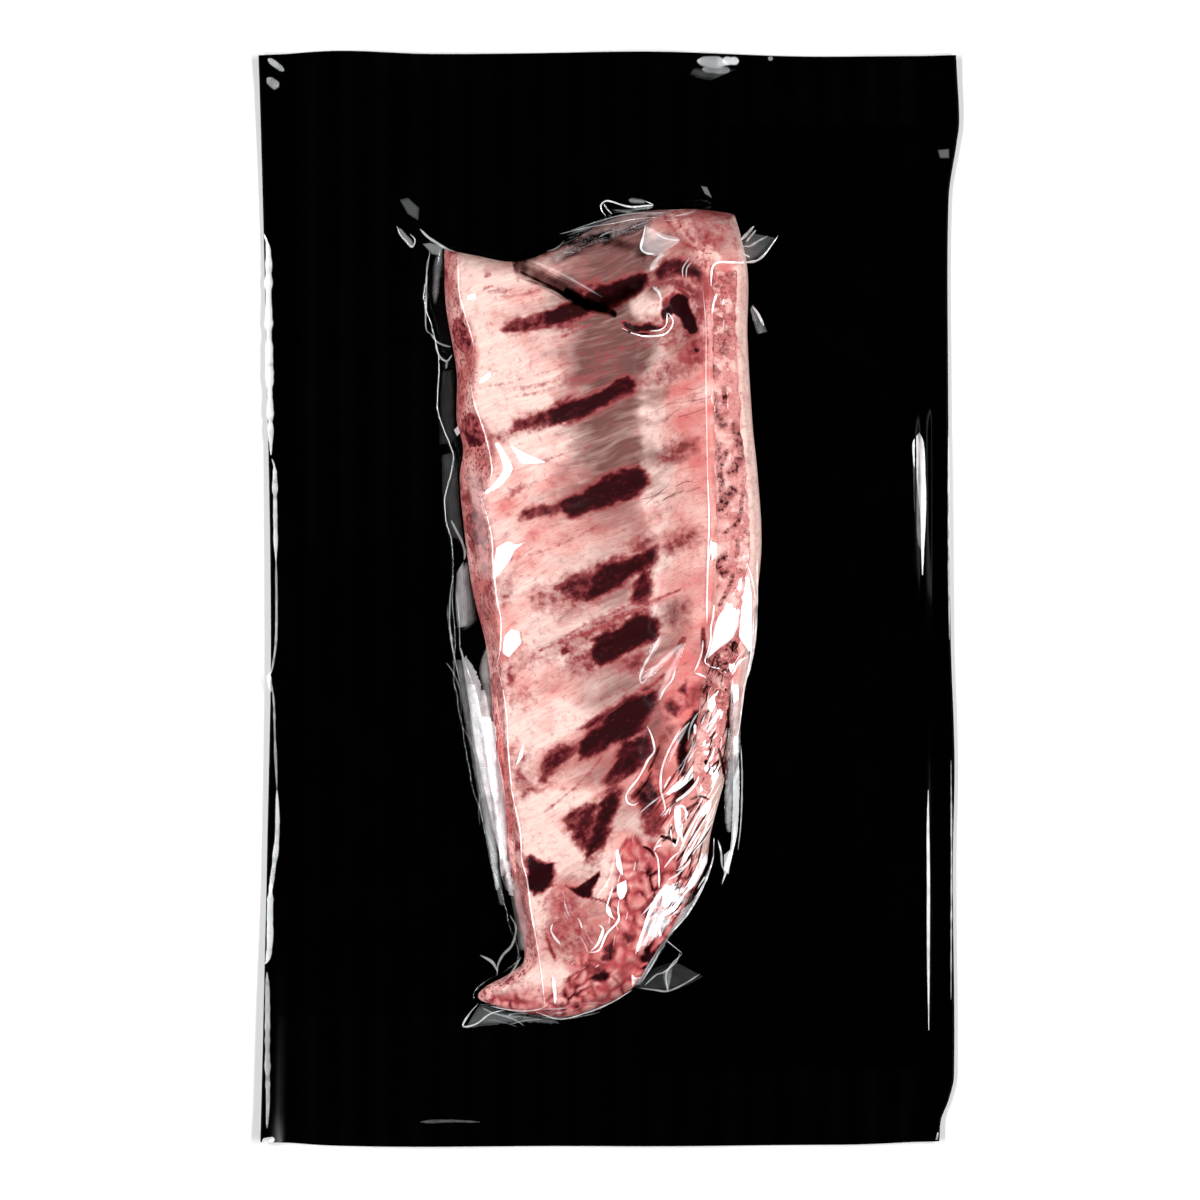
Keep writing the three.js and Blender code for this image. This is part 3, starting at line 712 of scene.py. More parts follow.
def black_film_material():
    m = Nodes("black_web")
    cloud = m.noise(60, 1, 0.5)
    base = m.blend(cloud, paint(0, 0, 0), paint(1, 1, 1))
    m.set(Base_Color=base, Roughness=m.spread(cloud, 0.3, 0.7, 0.14, 0.2), Specular_IOR_Level=0.02)
    m.set(Normal=m.bump(m.noise(700, 1, 0.5), 0.04, 0.0003))
    return m.material


def floor_material():
    m = Nodes("studio_floor")
    cloud = m.noise(3, 2, 0.5, m.position("Generated"))
    m.set(Base_Color=m.blend(cloud, paint(250, 250, 250), paint(253, 253, 253)), Roughness=0.8)
    return m.material


# ---- The pouch's webs ----


def web_lift(x, y):
    """How far the back web stands off the table."""
    left, right = value_at(POUCH_LEFT, y), value_at(POUCH_RIGHT, y)
    from_end = np.minimum(y - value_at(POUCH_BOTTOM, x), value_at(POUCH_TOP, x) - y)
    lift = value_at(LEFT_CURL, y) * ease(1 - (x - left) / CURL_WIDTH)
    lift = lift + value_at(RIGHT_CURL, y) * ease(1 - (right - x) / CURL_WIDTH)
    ripple = END_RIPPLE * (0.5 + 0.5 * np.sin(x / 13)) * ease(1 - from_end / CURL_WIDTH)
    crease = value_at(CREASE_HEIGHT, y) * ease(1 - np.abs(x - CREASE_X) / CREASE_HALF_WIDTH)
    return lift + ripple + crease


def pouch_grid(middle_x, middle_y):
    """Places over the pouch: its wavy margins, filled up to the given columns and rows."""
    close, wide = np.linspace(0, 0.12, 9, endpoint=False), np.linspace(0.12, 1, 22, endpoint=False)
    fine = np.concatenate([close, wide])
    low = -POUCH_HALF_LENGTH + (middle_y[0] + POUCH_HALF_LENGTH) * fine
    high = POUCH_HALF_LENGTH - (POUCH_HALF_LENGTH - middle_y[-1]) * fine[::-1]
    ys = np.concatenate([low, middle_y, high])
    start, end = value_at(POUCH_LEFT, ys)[:, None], value_at(POUCH_RIGHT, ys)[:, None]
    left = start + (middle_x[0] - start) * fine
    right = end - (end - middle_x[-1]) * fine[::-1]
    x = np.hstack([left, np.repeat(middle_x[None, :], len(ys), 0), right])
    reach = ease((np.abs(ys) - WAVY_FROM) / (POUCH_HALF_LENGTH - WAVY_FROM))[:, None]
    top, bottom = value_at(POUCH_TOP, x) - POUCH_HALF_LENGTH, value_at(POUCH_BOTTOM, x) + POUCH_HALF_LENGTH
    shift = np.where(ys[:, None] > 0, top, bottom)
    return x, ys[:, None] + reach * shift


def back_web():
    x, y = pouch_grid(np.linspace(*RACK_SPAN_X, 60), np.linspace(*RACK_SPAN_Y, 150))
    upper = np.stack([x, y, web_lift(x, y) + WEB_THICKNESS], -1)
    points, faces = sheet(upper, WEB_THICKNESS)
    piece = mesh_object("black_back_web", points, faces, "black_film", ["back_web"])
    piece.data.materials.append(black_film_material())


# ---- The rack's pieces ----

# Marks on the rack by kind: (strength, half width, the line it follows), in pixels of the photograph.
MARKS = {
    "blood_and_shade": [
        (0.42, 1.6, "562,337 576,331 592,324"),
        (0.42, 1.6, "562,332 570,329 580,325"),
        (0.35, 2.5, "490,292 505,290"),
        (0.3, 3, "515,389 545,384 565,374"),
        (0.45, 8, "690,700 700,690 720,700"),
        (0.8, 2.5, "703,630 704,645 705,660"),
        (0.7, 4, "703,690 712,684 718,680"),
        (1, 4, "710,748 697,768 682,790"),
        (0.7, 3, "676,650 683,640"),
        (1.3, 6, "663,950 665,955"),
        (0.55, 1.6, "540,650 560,642 580,635 600,628 620,618 640,608 655,600 680,590"),
        (0.38, 1.6, "560,640 590,622 615,612 640,600 650,596"),
        (0.34, 1.6, "545,812 560,800 575,787 590,772 602,757"),
        (0.3, 1.6, "500,476 530,466 560,455 590,446"),
        (0.3, 1.6, "505,560 540,552 575,538 600,524"),
        (0.26, 1.6, "480,388 520,380 560,366 580,356"),
        (0.26, 1.6, "500,400 540,392 575,380"),
        (0.26, 1.6, "560,770 590,730 640,690"),
        (0.3, 1.6, "600,700 640,684 672,672 690,660"),
        (0.77, 1.6, "676,288 683,292 690,297"),
        (0.45, 1.8, "686,276 697,286 702,302 701,318 695,331 690,338"),
        (0.26, 1.6, "682,283 692,289 698,302 697,316"),
        (0.4, 1.8, "706,262 704,290 706,320 707,352"),
        (0.38, 1.6, "620,350 640,346 665,344 678,338 688,330"),
        (1.1, 1.7, "696,350 697,351"),
        (0.51, 1.6, "677,456 677.5,457"),
        (0.68, 1.6, "590,897 602,901 612,906 618,911"),
        (0.42, 1.6, "544,888 556,885 568,887"),
        # Painted shade on the right side of the pale bulge below the clot.
        (0.36, 4, "552,893 554,908 550,921 545,930 549,941 554,956"),
        (0.35, 4, "547,898 549,912 545,924"),
        (0.64, 1.6, "546,934 550,946 555,958"),
        (0.59, 1.6, "606,942 612,943 616,946"),
        (0.51, 1.6, "592,955 586,964 578,972 572,976"),
        (0.51, 1.6, "606,966 612,976 618,983"),
        (0.5, 1.8, "676,216 684,230 694,242"),
        (0.5, 1.8, "664,216 672,228 684,244 704,250"),
        (0.55, 3, "735,210 728,218 716,212 700,208"),
        (0.35, 1.8, "540,290 520,295 500,297"),
        (0.4, 1.6, "484,288 492,286"),
        (0.45, 2.2, "486,276 490,275"),
    ],
    # Painted shade along the top edge, where the film's folds shade the meat.
    "painted_shade": [
        (0.3, 10, "560,262 600,245 645,230"),
    ],
    "speckle": [
        (0.5, 5, "725,335 724,350"),
        (1, 3, "710,345 710,362 718,372"),
        (1.1, 2.5, "724,388 725,402"),
        (0.9, 4, "735,425 738,440 742,452"),
        (0.6, 6, "714,445 720,455"),
        (0.8, 3.5, "726,452 719,468 722,485 722,500"),
        (1, 5, "738,462 733,470"),
        (1.1, 5, "732,490 725,500 720,508"),
        (0.9, 2, "743,492 741,508 738,522 725,532"),
        (0.8, 2, "738,540 737,556"),
        (1, 3.5, "724,556 718,566 724,574"),
        (0.9, 2, "733,575 728,590 720,604"),
        (0.8, 2.5, "709,600 709,607"),
        (0.7, 4, "714,395 716,415 724,425"),
        (0.8, 7, "706,652 716,662 724,668"),
        (0.7, 5, "728,645 742,650"),
        (0.7, 6, "704,690 718,678"),
    ],
    "pale": [
        (0.9, 12, "640,305 652,314"),
        (0.4, 4, "672,212 678,224 690,238 700,250"),
        (0.35, 4, "682,212 690,226 698,244"),
        (0.7, 5, "706,254 716,258"),
        (0.8, 12, "535,400 500,360"),
        (0.8, 10, "560,720 530,740"),
        (0.9, 16, "550,840 575,860"),
        (0.7, 9, "600,890 607,850 612,840"),
        (0.6, 9, "570,965 560,975"),
        (1, 7, "742,270 746,350 750,430 756,500 759,560"),
        # Painted highlight: a soft pale band where the film's sheen runs along the ridge.
        (0.3, 12, "655,345 652,430 657,520"),
    ],
    "raw": [
        (0.8, 10, "705,250 700,300 702,330"),
    ],
    "pink": [
        (0.6, 12, "508,505 500,520"),
        (0.4, 12, "505,660 520,690 515,740"),
    ],
}

# Patches by kind: (strength, softness, outline), in the same pixels.
PATCHES = {
    "stripe": [
        (1.2, 9, "545,312 560,305 572,302 588,292 600,286 612,281 625,276 640,272 650,273 648,285 638,293 "
         "628,299 618,304 606,311 592,314 580,317 572,323 558,325 546,327"),
        (0.72, 8, "500,328 508,321 520,317 535,314 552,308 556,325 540,329 525,332 510,335 501,334"),
        (0.95, 10,
         "652,272 662,262 675,259 690,262 700,268 706,278 700,284 690,278 678,275 668,278 659,284"),
        (0.55, 12, "650,282 668,276 690,280 702,292 706,320 698,330 696,304 684,290 664,290"),
        (0.35, 14, "684,254 704,262 708,300 700,292 692,270"),
        (0.6, 9, "562,296 580,284 600,278 604,288 586,298 570,304"),
        (0.42, 12, "688,318 700,316 706,340 706,368 694,366 690,344"),
        (0.4, 14, "638,316 664,316 700,322 696,342 664,344 640,338"),
        (0.1, 16, "588,344 606,338 622,352 618,378 600,396 588,384"),
        (0.5, 10, "628,545 640,538 654,538 654,552 640,558 630,556"),
        (1.15, 9, "547,411 560,404 571,399 590,394 609,385 620,378 628,375 635,380 633,390 621,397 607,407 "
         "587,415 571,422 549,427"),
        (0.7, 9, "511,421 530,415 552,409 554,426 530,430 513,434"),
        (0.4, 9, "488,435 500,430 516,425 518,438 500,443 490,441"),
        (0.34, 14, "636,378 650,370 668,360 690,351 706,353 704,368 680,376 660,384 640,390"),
        (0.3, 8, "560,384 590,372 608,368 606,376 585,384 562,392"),
        (1.2, 9, "561,503 571,497 587,488 602,478 624,470 638,467 647,470 647,483 636,494 613,503 592,511 "
         "580,518 570,517 562,511"),
        (0.68, 8, "519,511 534,507 550,503 564,501 564,513 545,516 530,519 520,518"),
        (0.5, 12, "656,456 668,446 684,438 697,440 698,451 684,458 668,464 658,465"),
        (1.15, 12, "590,578 600,566 615,561 640,554 656,545 655,562 630,578 612,590 598,599 586,600"),
        (0.72, 14, "555,586 572,574 596,570 598,602 575,602 558,596"),
        (0.36, 14, "526,598 536,586 562,584 592,596 586,610 560,614 540,610"),
        (0.3, 10, "498,580 514,572 514,594 504,606 496,596"),
        (0.45, 12, "660,546 672,534 688,528 700,530 700,542 684,550 668,556"),
        (0.9, 8, "630,588 640,572 650,571 652,592 645,606 632,602"),
        (1.2, 10, "595,640 604,634 620,624 636,612 648,614 658,621 660,634 655,640 640,646 625,653 610,663 "
         "600,667 594,660 591,650"),
        (0.42, 12, "556,644 590,624 615,610 640,600 654,598 652,612 620,626 596,642 572,652"),
        (0.42, 12, "566,654 580,646 598,640 604,664 590,674 576,678 568,670"),
        (0.5, 12, "620,660 640,649 654,652 648,670 632,676 620,672"),
        (0.3, 12, "662,604 688,600 690,624 668,630"),
        (0.9, 4, "560,650 566,648 569,652 563,655"),
        (1.25, 12, "640,695 658,691 655,706 647,721 636,737 626,744 612,744 600,752 588,757 580,760 "
         "580,742 590,730 601,720 612,708 626,698"),
        (0.85, 6, "576,729 600,715 614,707 604,723 588,730"),
        (0.75, 11, "540,783 541,770 547,757 556,749 566,743 580,745 574,760 562,767 552,776 546,786"),
        (0.32, 10, "560,748 582,738 592,752 578,764 562,764"),
        (0.4, 14, "510,752 530,750 526,770 540,790 522,800 512,778"),
        (1.0, 10, "614,762 622,744 632,737 648,733 655,742 654,754 646,762 636,770 628,774 620,778 610,786 "
         "602,784 610,772"),
        (1.4, 5, "627,756 633,757 635,765 629,768 624,762"),
        (1.15, 12,
         "603,797 612,788 621,789 618,805 614,817 610,832 603,847 594,855 586,860 586,842 594,820"),
        (0.8, 12, "564,820 572,812 580,810 596,800 600,822 592,842 582,850 574,838 567,830"),
    ],
    "blood_and_shade": [
        # Painted shade: the dark core of the hollow in the curled corner, and the shadow under the fold
        # beside it.
        (1.7, 5, "664,318 662,310 669,306 670,299 678,294 686,297 689,306 691,312 697,322 697,332 690,334 "
         "684,326 680,317 674,312 668,315"),
        (0.7, 5, "660,312 661,302 668,295 677,289 674,300 667,310"),
        (1.1, 4, "622,322 630,321 640,326 650,322 656,325 664,326 660,331 645,332 632,332 624,328"),
        (0.6, 12, "678,354 684,345 694,335 701,340 705,352 703,365 690,367 681,363"),
        (0.35, 8, "599,354 607,352 613,357 606,363 600,361"),
        (0.4, 6, "661,362 668,359 673,364 667,369"),
        (0.5, 18, "690,234 704,226 722,232 726,244 714,252 700,246"),
        (0.3, 24, "660,206 700,202 740,208 738,244 700,256 668,240"),
        (0.5, 10, "705,212 720,208 738,210 730,220 712,222"),
        (0.42, 8, "504,494 515,487 528,481 539,477 537,485 522,491 510,498"),
        (0.28, 16,
         "498,652 530,643 556,645 576,650 572,668 545,669 522,672 514,680 510,694 503,682 499,664"),
        (0.6, 7, "504,668 512,665 516,676 512,692 506,684"),
        (0.33, 12, "506,690 520,686 540,698 532,706 510,708"),
        (0.3, 12, "508,735 518,742 516,760 524,775 512,780"),
        (0.95, 7, "626,796 640,784 652,775 658,790 657,806 650,817 638,805"),
        (0.7, 9, "638,804 655,800 666,815 664,834 650,844 640,828"),
        (0.85, 6, "662,702 672,698 681,706 676,717 666,714"),
        (0.35, 12, "644,722 664,712 690,690 684,716 664,724"),
        (0.75, 5, "638,690 650,682 664,674 656,688 645,694"),
        (0.85, 4, "676,690 687,679 689,698 680,694"),
        (0.5, 4, "670,652 682,640 681,647 674,657"),
        (1.1, 6, "684,724 694,711 700,711 698,723 690,736 687,749 687,765 683,780 678,768 676,752 679,738"),
        (0.85, 6, "712,744 717,750 707,766 697,781 687,791 676,798 671,793 684,780 700,762"),
        (0.75, 6, "702,648 714,650 723,663 712,668 702,664"),
        (0.75, 6, "699,690 710,682 720,684 713,696 704,698"),
        (1.2, 3, "728,687 731,691 734,700 732,703 728,695"),
        (0.7, 4, "724,757 729,755 732,768 730,780 724,777 722,766"),
        (1.35, 8,
         "530,853 537,859 545,862 553,865 555,871 553,878 548,885 542,892 534,896 528,888 527,875 526,862"),
        (1.5, 5, "566,886 576,889 582,886 590,880 599,872 597,882 592,890 591,899 582,899 576,894 570,889"),
        (0.5, 9, "558,911 568,902 577,907 576,919 566,922"),
        (0.95, 6, "601,959 604,946 612,942 616,950 613,960 606,962"),
        (1.15, 6, "587,979 596,972 606,969 611,976 605,982 594,981"),
        (0.7, 7, "583,969 590,960 598,966 607,967 600,975 588,977"),
        (0.8, 5, "565,981 570,976 575,986 570,993"),
        (0.9, 6, "557,1006 564,1003 567,1010 560,1013"),
        (0.9, 5, "572,1006 578,1003 580,1009 574,1011"),
        (0.8, 7, "620,934 632,929 638,934 636,943 627,943"),
        (0.55, 8, "588,993 598,988 602,998 592,1005"),
        (0.75, 6, "638,911 648,900 657,890 659,900 650,909 642,917"),
        (0.9, 5, "644,868 650,860 654,870 647,878"),
        (0.35, 10, "594,850 603,846 602,868 594,880"),
        (0.3, 14, "656,730 676,716 668,750 656,790 644,808 640,790 652,762"),
        (0.3, 12, "470,985 500,968 525,975 540,1000 500,1004"),
        (0.35, 12, "565,925 590,915 600,940 585,950 568,945"),
        (0.46, 16, "540,900 560,884 586,900 592,940 570,964 548,950"),
        (0.55, 10, "480,1004 520,1008 560,1006 560,1018 520,1022 484,1016"),
    ],
    # Painted shade: darker patches between the ribs, in hollows and under the film's folds.
    "painted_shade": [
        (0.22, 30, "560,262 600,240 645,224 652,250 600,262 560,276"),
        (0.5, 40, "575,345 600,325 625,335 645,345 645,362 620,375 598,382 575,375"),
        (0.4, 20, "640,338 690,330 700,372 660,380 640,372"),
        (0.5, 20, "640,200 740,200 735,260 690,262 650,240"),
        (0.35, 10, "596,598 616,586 632,580 630,598 602,612"),
        (0.35, 22, "600,668 640,652 690,632 686,660 640,690 600,700"),
        (0.25, 24, "520,705 560,690 600,672 596,700 560,716 530,722"),
        (0.35, 18, "580,768 620,744 616,776 585,800 560,806"),
        (0.4, 5, "558,618 566,610 574,608 568,616 560,621"),
        (0.35, 3, "596,684 603,678 604,682 598,687"),
        (0.3, 3, "576,696 583,690 584,694 578,698"),
        (0.5, 8, "578,812 592,806 600,815 594,832 582,832"),
        (0.5, 14, "624,740 650,722 658,700 664,712 660,740 640,752"),
    ],
    "pink": [
        (0.12, 24, "500,640 560,640 590,690 560,720 505,720"),
        (0.9, 16, "652,700 690,690 684,730 676,790 664,820 640,810 636,780 652,745"),
        (0.3, 30, "482,490 560,470 590,540 560,590 500,590"),
        (0.5, 24, "530,730 600,700 650,760 610,800 560,800 520,790"),
        (0.5, 20, "560,880 612,900 620,960 560,975 545,930"),
    ],
    "pale": [
        (0.8, 20, "520,800 600,790 586,805 562,812 566,850 530,860 520,830"),
        (0.6, 20, "510,700 560,700 600,715 560,745 520,745"),
        (1, 7, "531,902 545,900 550,908 547,920 540,930 534,930"),
        (1, 8, "603,842 613,845 613,870 612,896 600,899 589,895 598,880 604,862"),
    ],
    "smooth": [
        (1, 16, "545,880 600,895 614,910 610,945 590,955 555,960 545,930"),
        (0.8, 10, "592,842 616,842 616,900 585,900"),
    ],
}


PATCH_MARGIN = 22  # pixels past the outline that the frayed rim can reach


def patches(what, x, y):
    """The strongest patch of a kind at each pixel, its outline frayed along the grain."""
    total = np.zeros(x.shape)
    u, v = grain_of((x - PHOTO_CENTRE_PX) * MM_PER_PX, (PHOTO_CENTRE_PX - y) * MM_PER_PX)
    fray = 3.4 * noise(u / 6, v / 2.4, 75, 2) + 1.3 * noise(u / 1.8, v / 0.9, 76, 2)
    for strength, softness, outline in read_rows(PATCHES.get(what, [])):
        line = np.vstack([outline, outline[:1]])
        near = box_round(x, y, line, PATCH_MARGIN + softness)
        px, py = x[near], y[near]
        gap = line_distance(px, py, line)
        crossings = np.zeros(px.shape, int)
        for (ax, ay), (bx, by) in zip(line[:-1], line[1:]):
            crossings += ((ay > py) != (by > py)) & (px < ax + (py - ay) * (bx - ax) / (by - ay + 1e-9))
        inward = np.where(crossings % 2, gap, -gap) + fray[near] * min(1, softness / 8)
        total[near] = np.maximum(total[near], strength * ease(inward / (1.3 * softness) + 0.5))
    return total


def marks(what, x, y):
    """The strongest mark of a kind at each pixel."""
    total = patches(what, x, y)
    uneven = 1 + 0.35 * noise(x / 6, y / 6, 71, 2)
    for strength, half_width, points in read_rows(MARKS.get(what, [])):
        line = smooth_line(points, 3)
        near = box_round(x, y, line, 2.5 * half_width)
        gap = line_distance(x[near], y[near], line) / half_width
        total[near] = np.maximum(total[near], strength * ease(1.5 - gap * uneven[near]))
    return total


def rack_meat(rack):
    points, faces = mound(rack.surface(), RACK_FLOOR)
    piece = mesh_object("rack_meat", points, faces, "raw_meat", ["sealed_rack"])
    x, y, z = points.T
    u, v = grain_of(x, y)
    give_vectors(piece, "grain", np.stack([u / 11, v / 1.3, z / 3], -1))
    columns = rack.FACE + rack.TOP + rack.WALL
    column = np.arange(len(points)) % columns
    grid_part = np.arange(len(points)) < columns * rack.ROWS
    face = (column < rack.FACE) & grid_part
    edge = np.clip((column - rack.FACE) / 4, 0, 1)
    top = np.where(face, 0, 1)
    seen = to_photo(x, y, z)
    pale = marks("pale", *seen)
    # Painted shade in the valley between the sawn edge and the chine, patchy and stronger towards the square
    # end, with the painted shade patches added and pale patches taken off.
    wave = 11 * noise(u / 9, v / 4, 63, 3)
    valley = ease((x + 30 + wave) / 30) * ease((24 + wave - x) / 14) * (0.4 + 0.62 * ease((y - 12) / 40))
    shade = noise(u / 22, v / 7, 61, 3)
    painted_shade = valley + 0.35 * shade - 0.05 + marks("painted_shade", *seen) - pale
    give_attribute(piece, "painted_shade", top * np.clip(painted_shade, 0, 1))
    chine_side = ease((x - 14) / 12)
    chine_side = chine_side * (1 - 0.5 * ease((x - value_at(RACK_RIGHT, y) + CHINE_SIDE_FAT + 1) / 2))
    pink = 0.52 * chine_side + 0.14 + 0.5 * noise(u / 18, v / 6, 62, 3) - 0.1 * ease((-20 - x) / 12)
    pink = pink - 0.5 * ease((x - value_at(RACK_RIGHT, y) + 4) / 2)
    pink = pink + marks("pink", *seen) - pale
    give_attribute(piece, "pink", np.clip(pink, 0, 1))
    stripe = marks("stripe", *seen) * (1 + 0.3 * noise(u / 3, v / 1.2, 50, 3))
    give_attribute(piece, "stripe", top * stripe)
    lump, owner = fat_lumps(x, y)
    ragged = ragged_end(x, y) * (1 - marks("smooth", *seen))
    give_attribute(piece, "fat", ragged)
    give_attribute(piece, "owner", np.clip(0.45 * owner + 0.9 * lump - 0.15, 0, 1))
    outer = value_at(RACK_RIGHT, y) - x
    side = 0.15 * ease((CHINE_SIDE_FAT + 1 - outer) / 2) * ease((outer - 1.5) / 2) * ease((y + 110) / 30)
    raw = np.maximum(marks("raw", *seen), np.where(face, 1, np.maximum(0.8 * ease(1 - edge), side)))
    give_attribute(piece, "raw", raw)
    seams = ragged * ease(1 - lump * 3) * (0.55 + 1.1 * noise(x / 7, y / 7, 36, 2))
    give_attribute(piece, "blood_and_shade", top * np.maximum(marks("blood_and_shade", *seen), seams))
    piece.data.materials.append(meat_material())


OUT_OF_THE_FACE = [-0.75, 0, 0.65]  # the way the sawn face looks
RIB_END_REACH = (6.6, 6.2, 6.0, 5.0, 4.6, 4.8, 4.4, 4.2)  # from the middle of each sawn end, along the rack
RIB_END_BLOOD = (1, 1, 0.8, 0.35, 0.3, 0.35, 0.3, 0.3)  # 0 is washed, 1 is dark with blood


def face_point(rack, share, along):
    """A point of the sawn face, a share of the way up it."""
    sawn = sawn_share(along)
    x, y = plan_point(sawn * share, along)
    row = np.interp(along, rack.alongs, np.arange(rack.ROWS))
    edge = bilinear(rack.z, row, 0 * row)
    return np.stack([x, y, mix(RACK_FLOOR + SKIRT, edge, share**FACE_CURVE)], -1)


def rib_bone(rack, index, material):
    """A rib: its sawn end stands a little proud of the sawn face, its bar runs in under the membrane."""
    line = smooth_line(RIB_LINES[index], 3)
    sides = 36
    turn = np.linspace(0, 2 * math.pi, sides, endpoint=False)
    along = float(place_over(line[0][0], line[0][1])[1])
    wobble = 1 + 0.22 * noise(2 + np.cos(turn) * 1.6, 2 + np.sin(turn) * 1.6, 80 + index, 2)
    rings = []
    for reach in np.linspace(0.02, 1, 9):
        share = np.clip(0.52 + 0.4 * reach * np.sin(turn) * wobble, 0.03, 0.97)
        place = along + reach * RIB_END_REACH[index] * np.cos(turn) * wobble / RACK_LENGTH
        ring = face_point(rack, share, place)
        bulge = 0.5 * (1 - reach**4) + 0.15 * noise(ring[:, 0] * 1.7, ring[:, 1] * 1.7, 90)
        rings.append(ring + bulge[:, None] * OUT_OF_THE_FACE)
    for i in range(2, len(line) - 1):
        centre, ahead = line[i], line[i + 1] - line[i - 1]
        sideways = np.array([ahead[1], -ahead[0]]) / -np.hypot(*ahead)
        roof = float(rack.over(centre[:1], centre[1:])[0]) - RIB_COVER - 0.4
        near_end = ease(1 - i / len(line) / 0.45)
        middle = roof - RIB_HALF_THICKNESS - RIB_END_DROP * near_end
        half = (RIB_HALF_WIDTH + RIB_END_FLARE * near_end) * np.cos(turn) * wobble
        x, y = centre[0] + sideways[0] * half, centre[1] + sideways[1] * half
        rings.append(np.stack([x, y, middle + RIB_HALF_THICKNESS * np.sin(turn)], -1))
    name = f"rib_bone_{index + 1}"
    piece = mesh_object(f"fine_{name}", *tube(np.array(rings)), "rib_bone", [name])
    give_attribute(piece, "bloody", np.full(len(rings) * sides, RIB_END_BLOOD[index]))
    piece.data.materials.append(material)


def chine_bone(rack):
    ys = np.linspace(CHINE_ENDS[0] + 0.5, CHINE_ENDS[1] - 0.5, 270)[:, None]
    share = np.linspace(0, 1, 30)[None, :]
    inner = value_at(CHINE_INNER, ys) + 0.5 + 0.5 * noise(ys / 3, 0 * ys, 95, 2)
    outer = value_at(RACK_RIGHT, ys) - CHINE_SIDE_FAT - 0.3 + 0.7 * noise(ys / 3.5, 0 * ys, 96, 2)
    x, y = mix(inner, outer, share), ys + 0 * share
    border = np.minimum(np.minimum(share, 1 - share) * 8, np.minimum(y - ys[0], ys[-1] - y) / 3)
    rough = 0.35 * noise(x / 1.3, y / 1.6, 97, 2) + 0.25 * noise(x / 4, y / 5, 98)
    highest = SOLIDS_TOP + BONE_ABOVE + 0.3 * rough
    z = np.minimum(rack.over(x, y) + 0.45 + rough, highest) - 1.2 * (1 - ease(border))
    points, faces = mound(np.stack([x, y, z], -1), CHINE_FLOOR)
    piece = mesh_object("fine_chine_bone", points, faces, "chine_bone", ["chine_bone"])
    dark = np.zeros(len(piece.data.vertices))
    dark[: x.size] = marks("speckle", *to_photo(x.ravel(), y.ravel(), z.ravel()))
    give_attribute(piece, "dark", dark)
    piece.data.materials.append(chine_material())


# ---- The clear film ----

FILM_GAP = 0.3
FILM_STEP = 0.9
FILM_REACH = 34  # steps that the film spans from the rack to the web


def steepest_fall(x, y):
    """How steeply the film comes down from the rack to the web."""
    left = value_at([(-160, 2.2), (-130, 2.2), (-95, 1.5), (-30, 1.1), (0, 1.3), (60, 1.45), (125, 1.4)], y)
    beside = ease((x - value_at(RACK_LEFT, y) - 14) / 10)
    ends = ease((y - 112) / 12) + ease((-142 - y) / 6)
    return mix(mix(left, 5, beside), 3, np.clip(ends, 0, 1))


def shifted(field, di, dj):
    """The field moved by so many rows and columns."""
    return np.roll(field, (di, dj), (0, 1))


def draped(field, fall, step, rounds):
    """The field with every drop eased to a slope no steeper than the fall."""
    for _ in range(rounds):
        grown = field
        for di in (-1, 0, 1):
            for dj in (-1, 0, 1):
                if di or dj:
                    grown = np.maximum(grown, shifted(field, di, dj) - fall * step * math.hypot(di, dj))
        field = grown
    return field


def blurred(field):
    """The field smoothed over its nearest neighbours."""
    for di, dj in ((1, 0), (0, 1)):
        field = (shifted(field, di, dj) + 2 * field + shifted(field, -di, -dj)) / 4
    return field


class Film:
    """The front web's height over the pack."""

    def __init__(self, rack):
        self.rack = rack
        self.xs = np.arange(*RACK_SPAN_X, FILM_STEP)
        self.ys = np.arange(*RACK_SPAN_Y, FILM_STEP)
        x, y = np.meshgrid(self.xs, self.ys)
        under = np.maximum(rack.over(x, y), web_lift(x, y) + WEB_THICKNESS)
        taut = blurred(blurred(draped(under, steepest_fall(x, y), FILM_STEP, FILM_REACH)))
        self.field = blurred(np.maximum(taut, blurred(under))) + FILM_GAP
        self.field = np.maximum(np.minimum(self.field, SOLIDS_TOP + FILM_ABOVE), under + 0.1)

    def at(self, x, y):
        """The film's height over points of the table."""
        near = bilinear(self.field, (y - self.ys[0]) / FILM_STEP, (x - self.xs[0]) / FILM_STEP)
        inside = (x > self.xs[0]) & (x < self.xs[-1]) & (y > self.ys[0]) & (y < self.ys[-1])
        return np.where(inside, near, web_lift(x, y) + WEB_THICKNESS + FILM_GAP)

    def under_pixels(self, pixels):
        """Places on the film that show at pixels of the photograph."""
        pixels = np.array(pixels, float)
        height = np.full(len(pixels), 15.0)
        for _ in range(5):
            x, y = from_photo(pixels[:, 0], pixels[:, 1], height)
            height = self.at(x, y)
        return np.stack([x, y], -1)


SHINE_ON_MEAT, SHINE_ON_WEB = 0.012, 0.6


def film_shine(rack, x, y):
    """How strongly the film mirrors: where it clings to the meat, the wet meat takes its gloss away."""
    shine = np.where(rack.over(x, y) > 0, SHINE_ON_MEAT, SHINE_ON_WEB)
    tent = ease((30 - y) / 20) * ease((value_at(RACK_LEFT, y) + 2 - x) / 4)
    shine = shine - 0.45 * tent * (np.abs(y) < 150)
    beside = (x > value_at(RACK_RIGHT, y) - 3) & (np.abs(y) < 170)
    shine = np.where(beside, 0, shine)
    margin = np.minimum(x - value_at(POUCH_LEFT, y), value_at(POUCH_RIGHT, y) - x)
    return shine * ease((margin - 4) / 10)


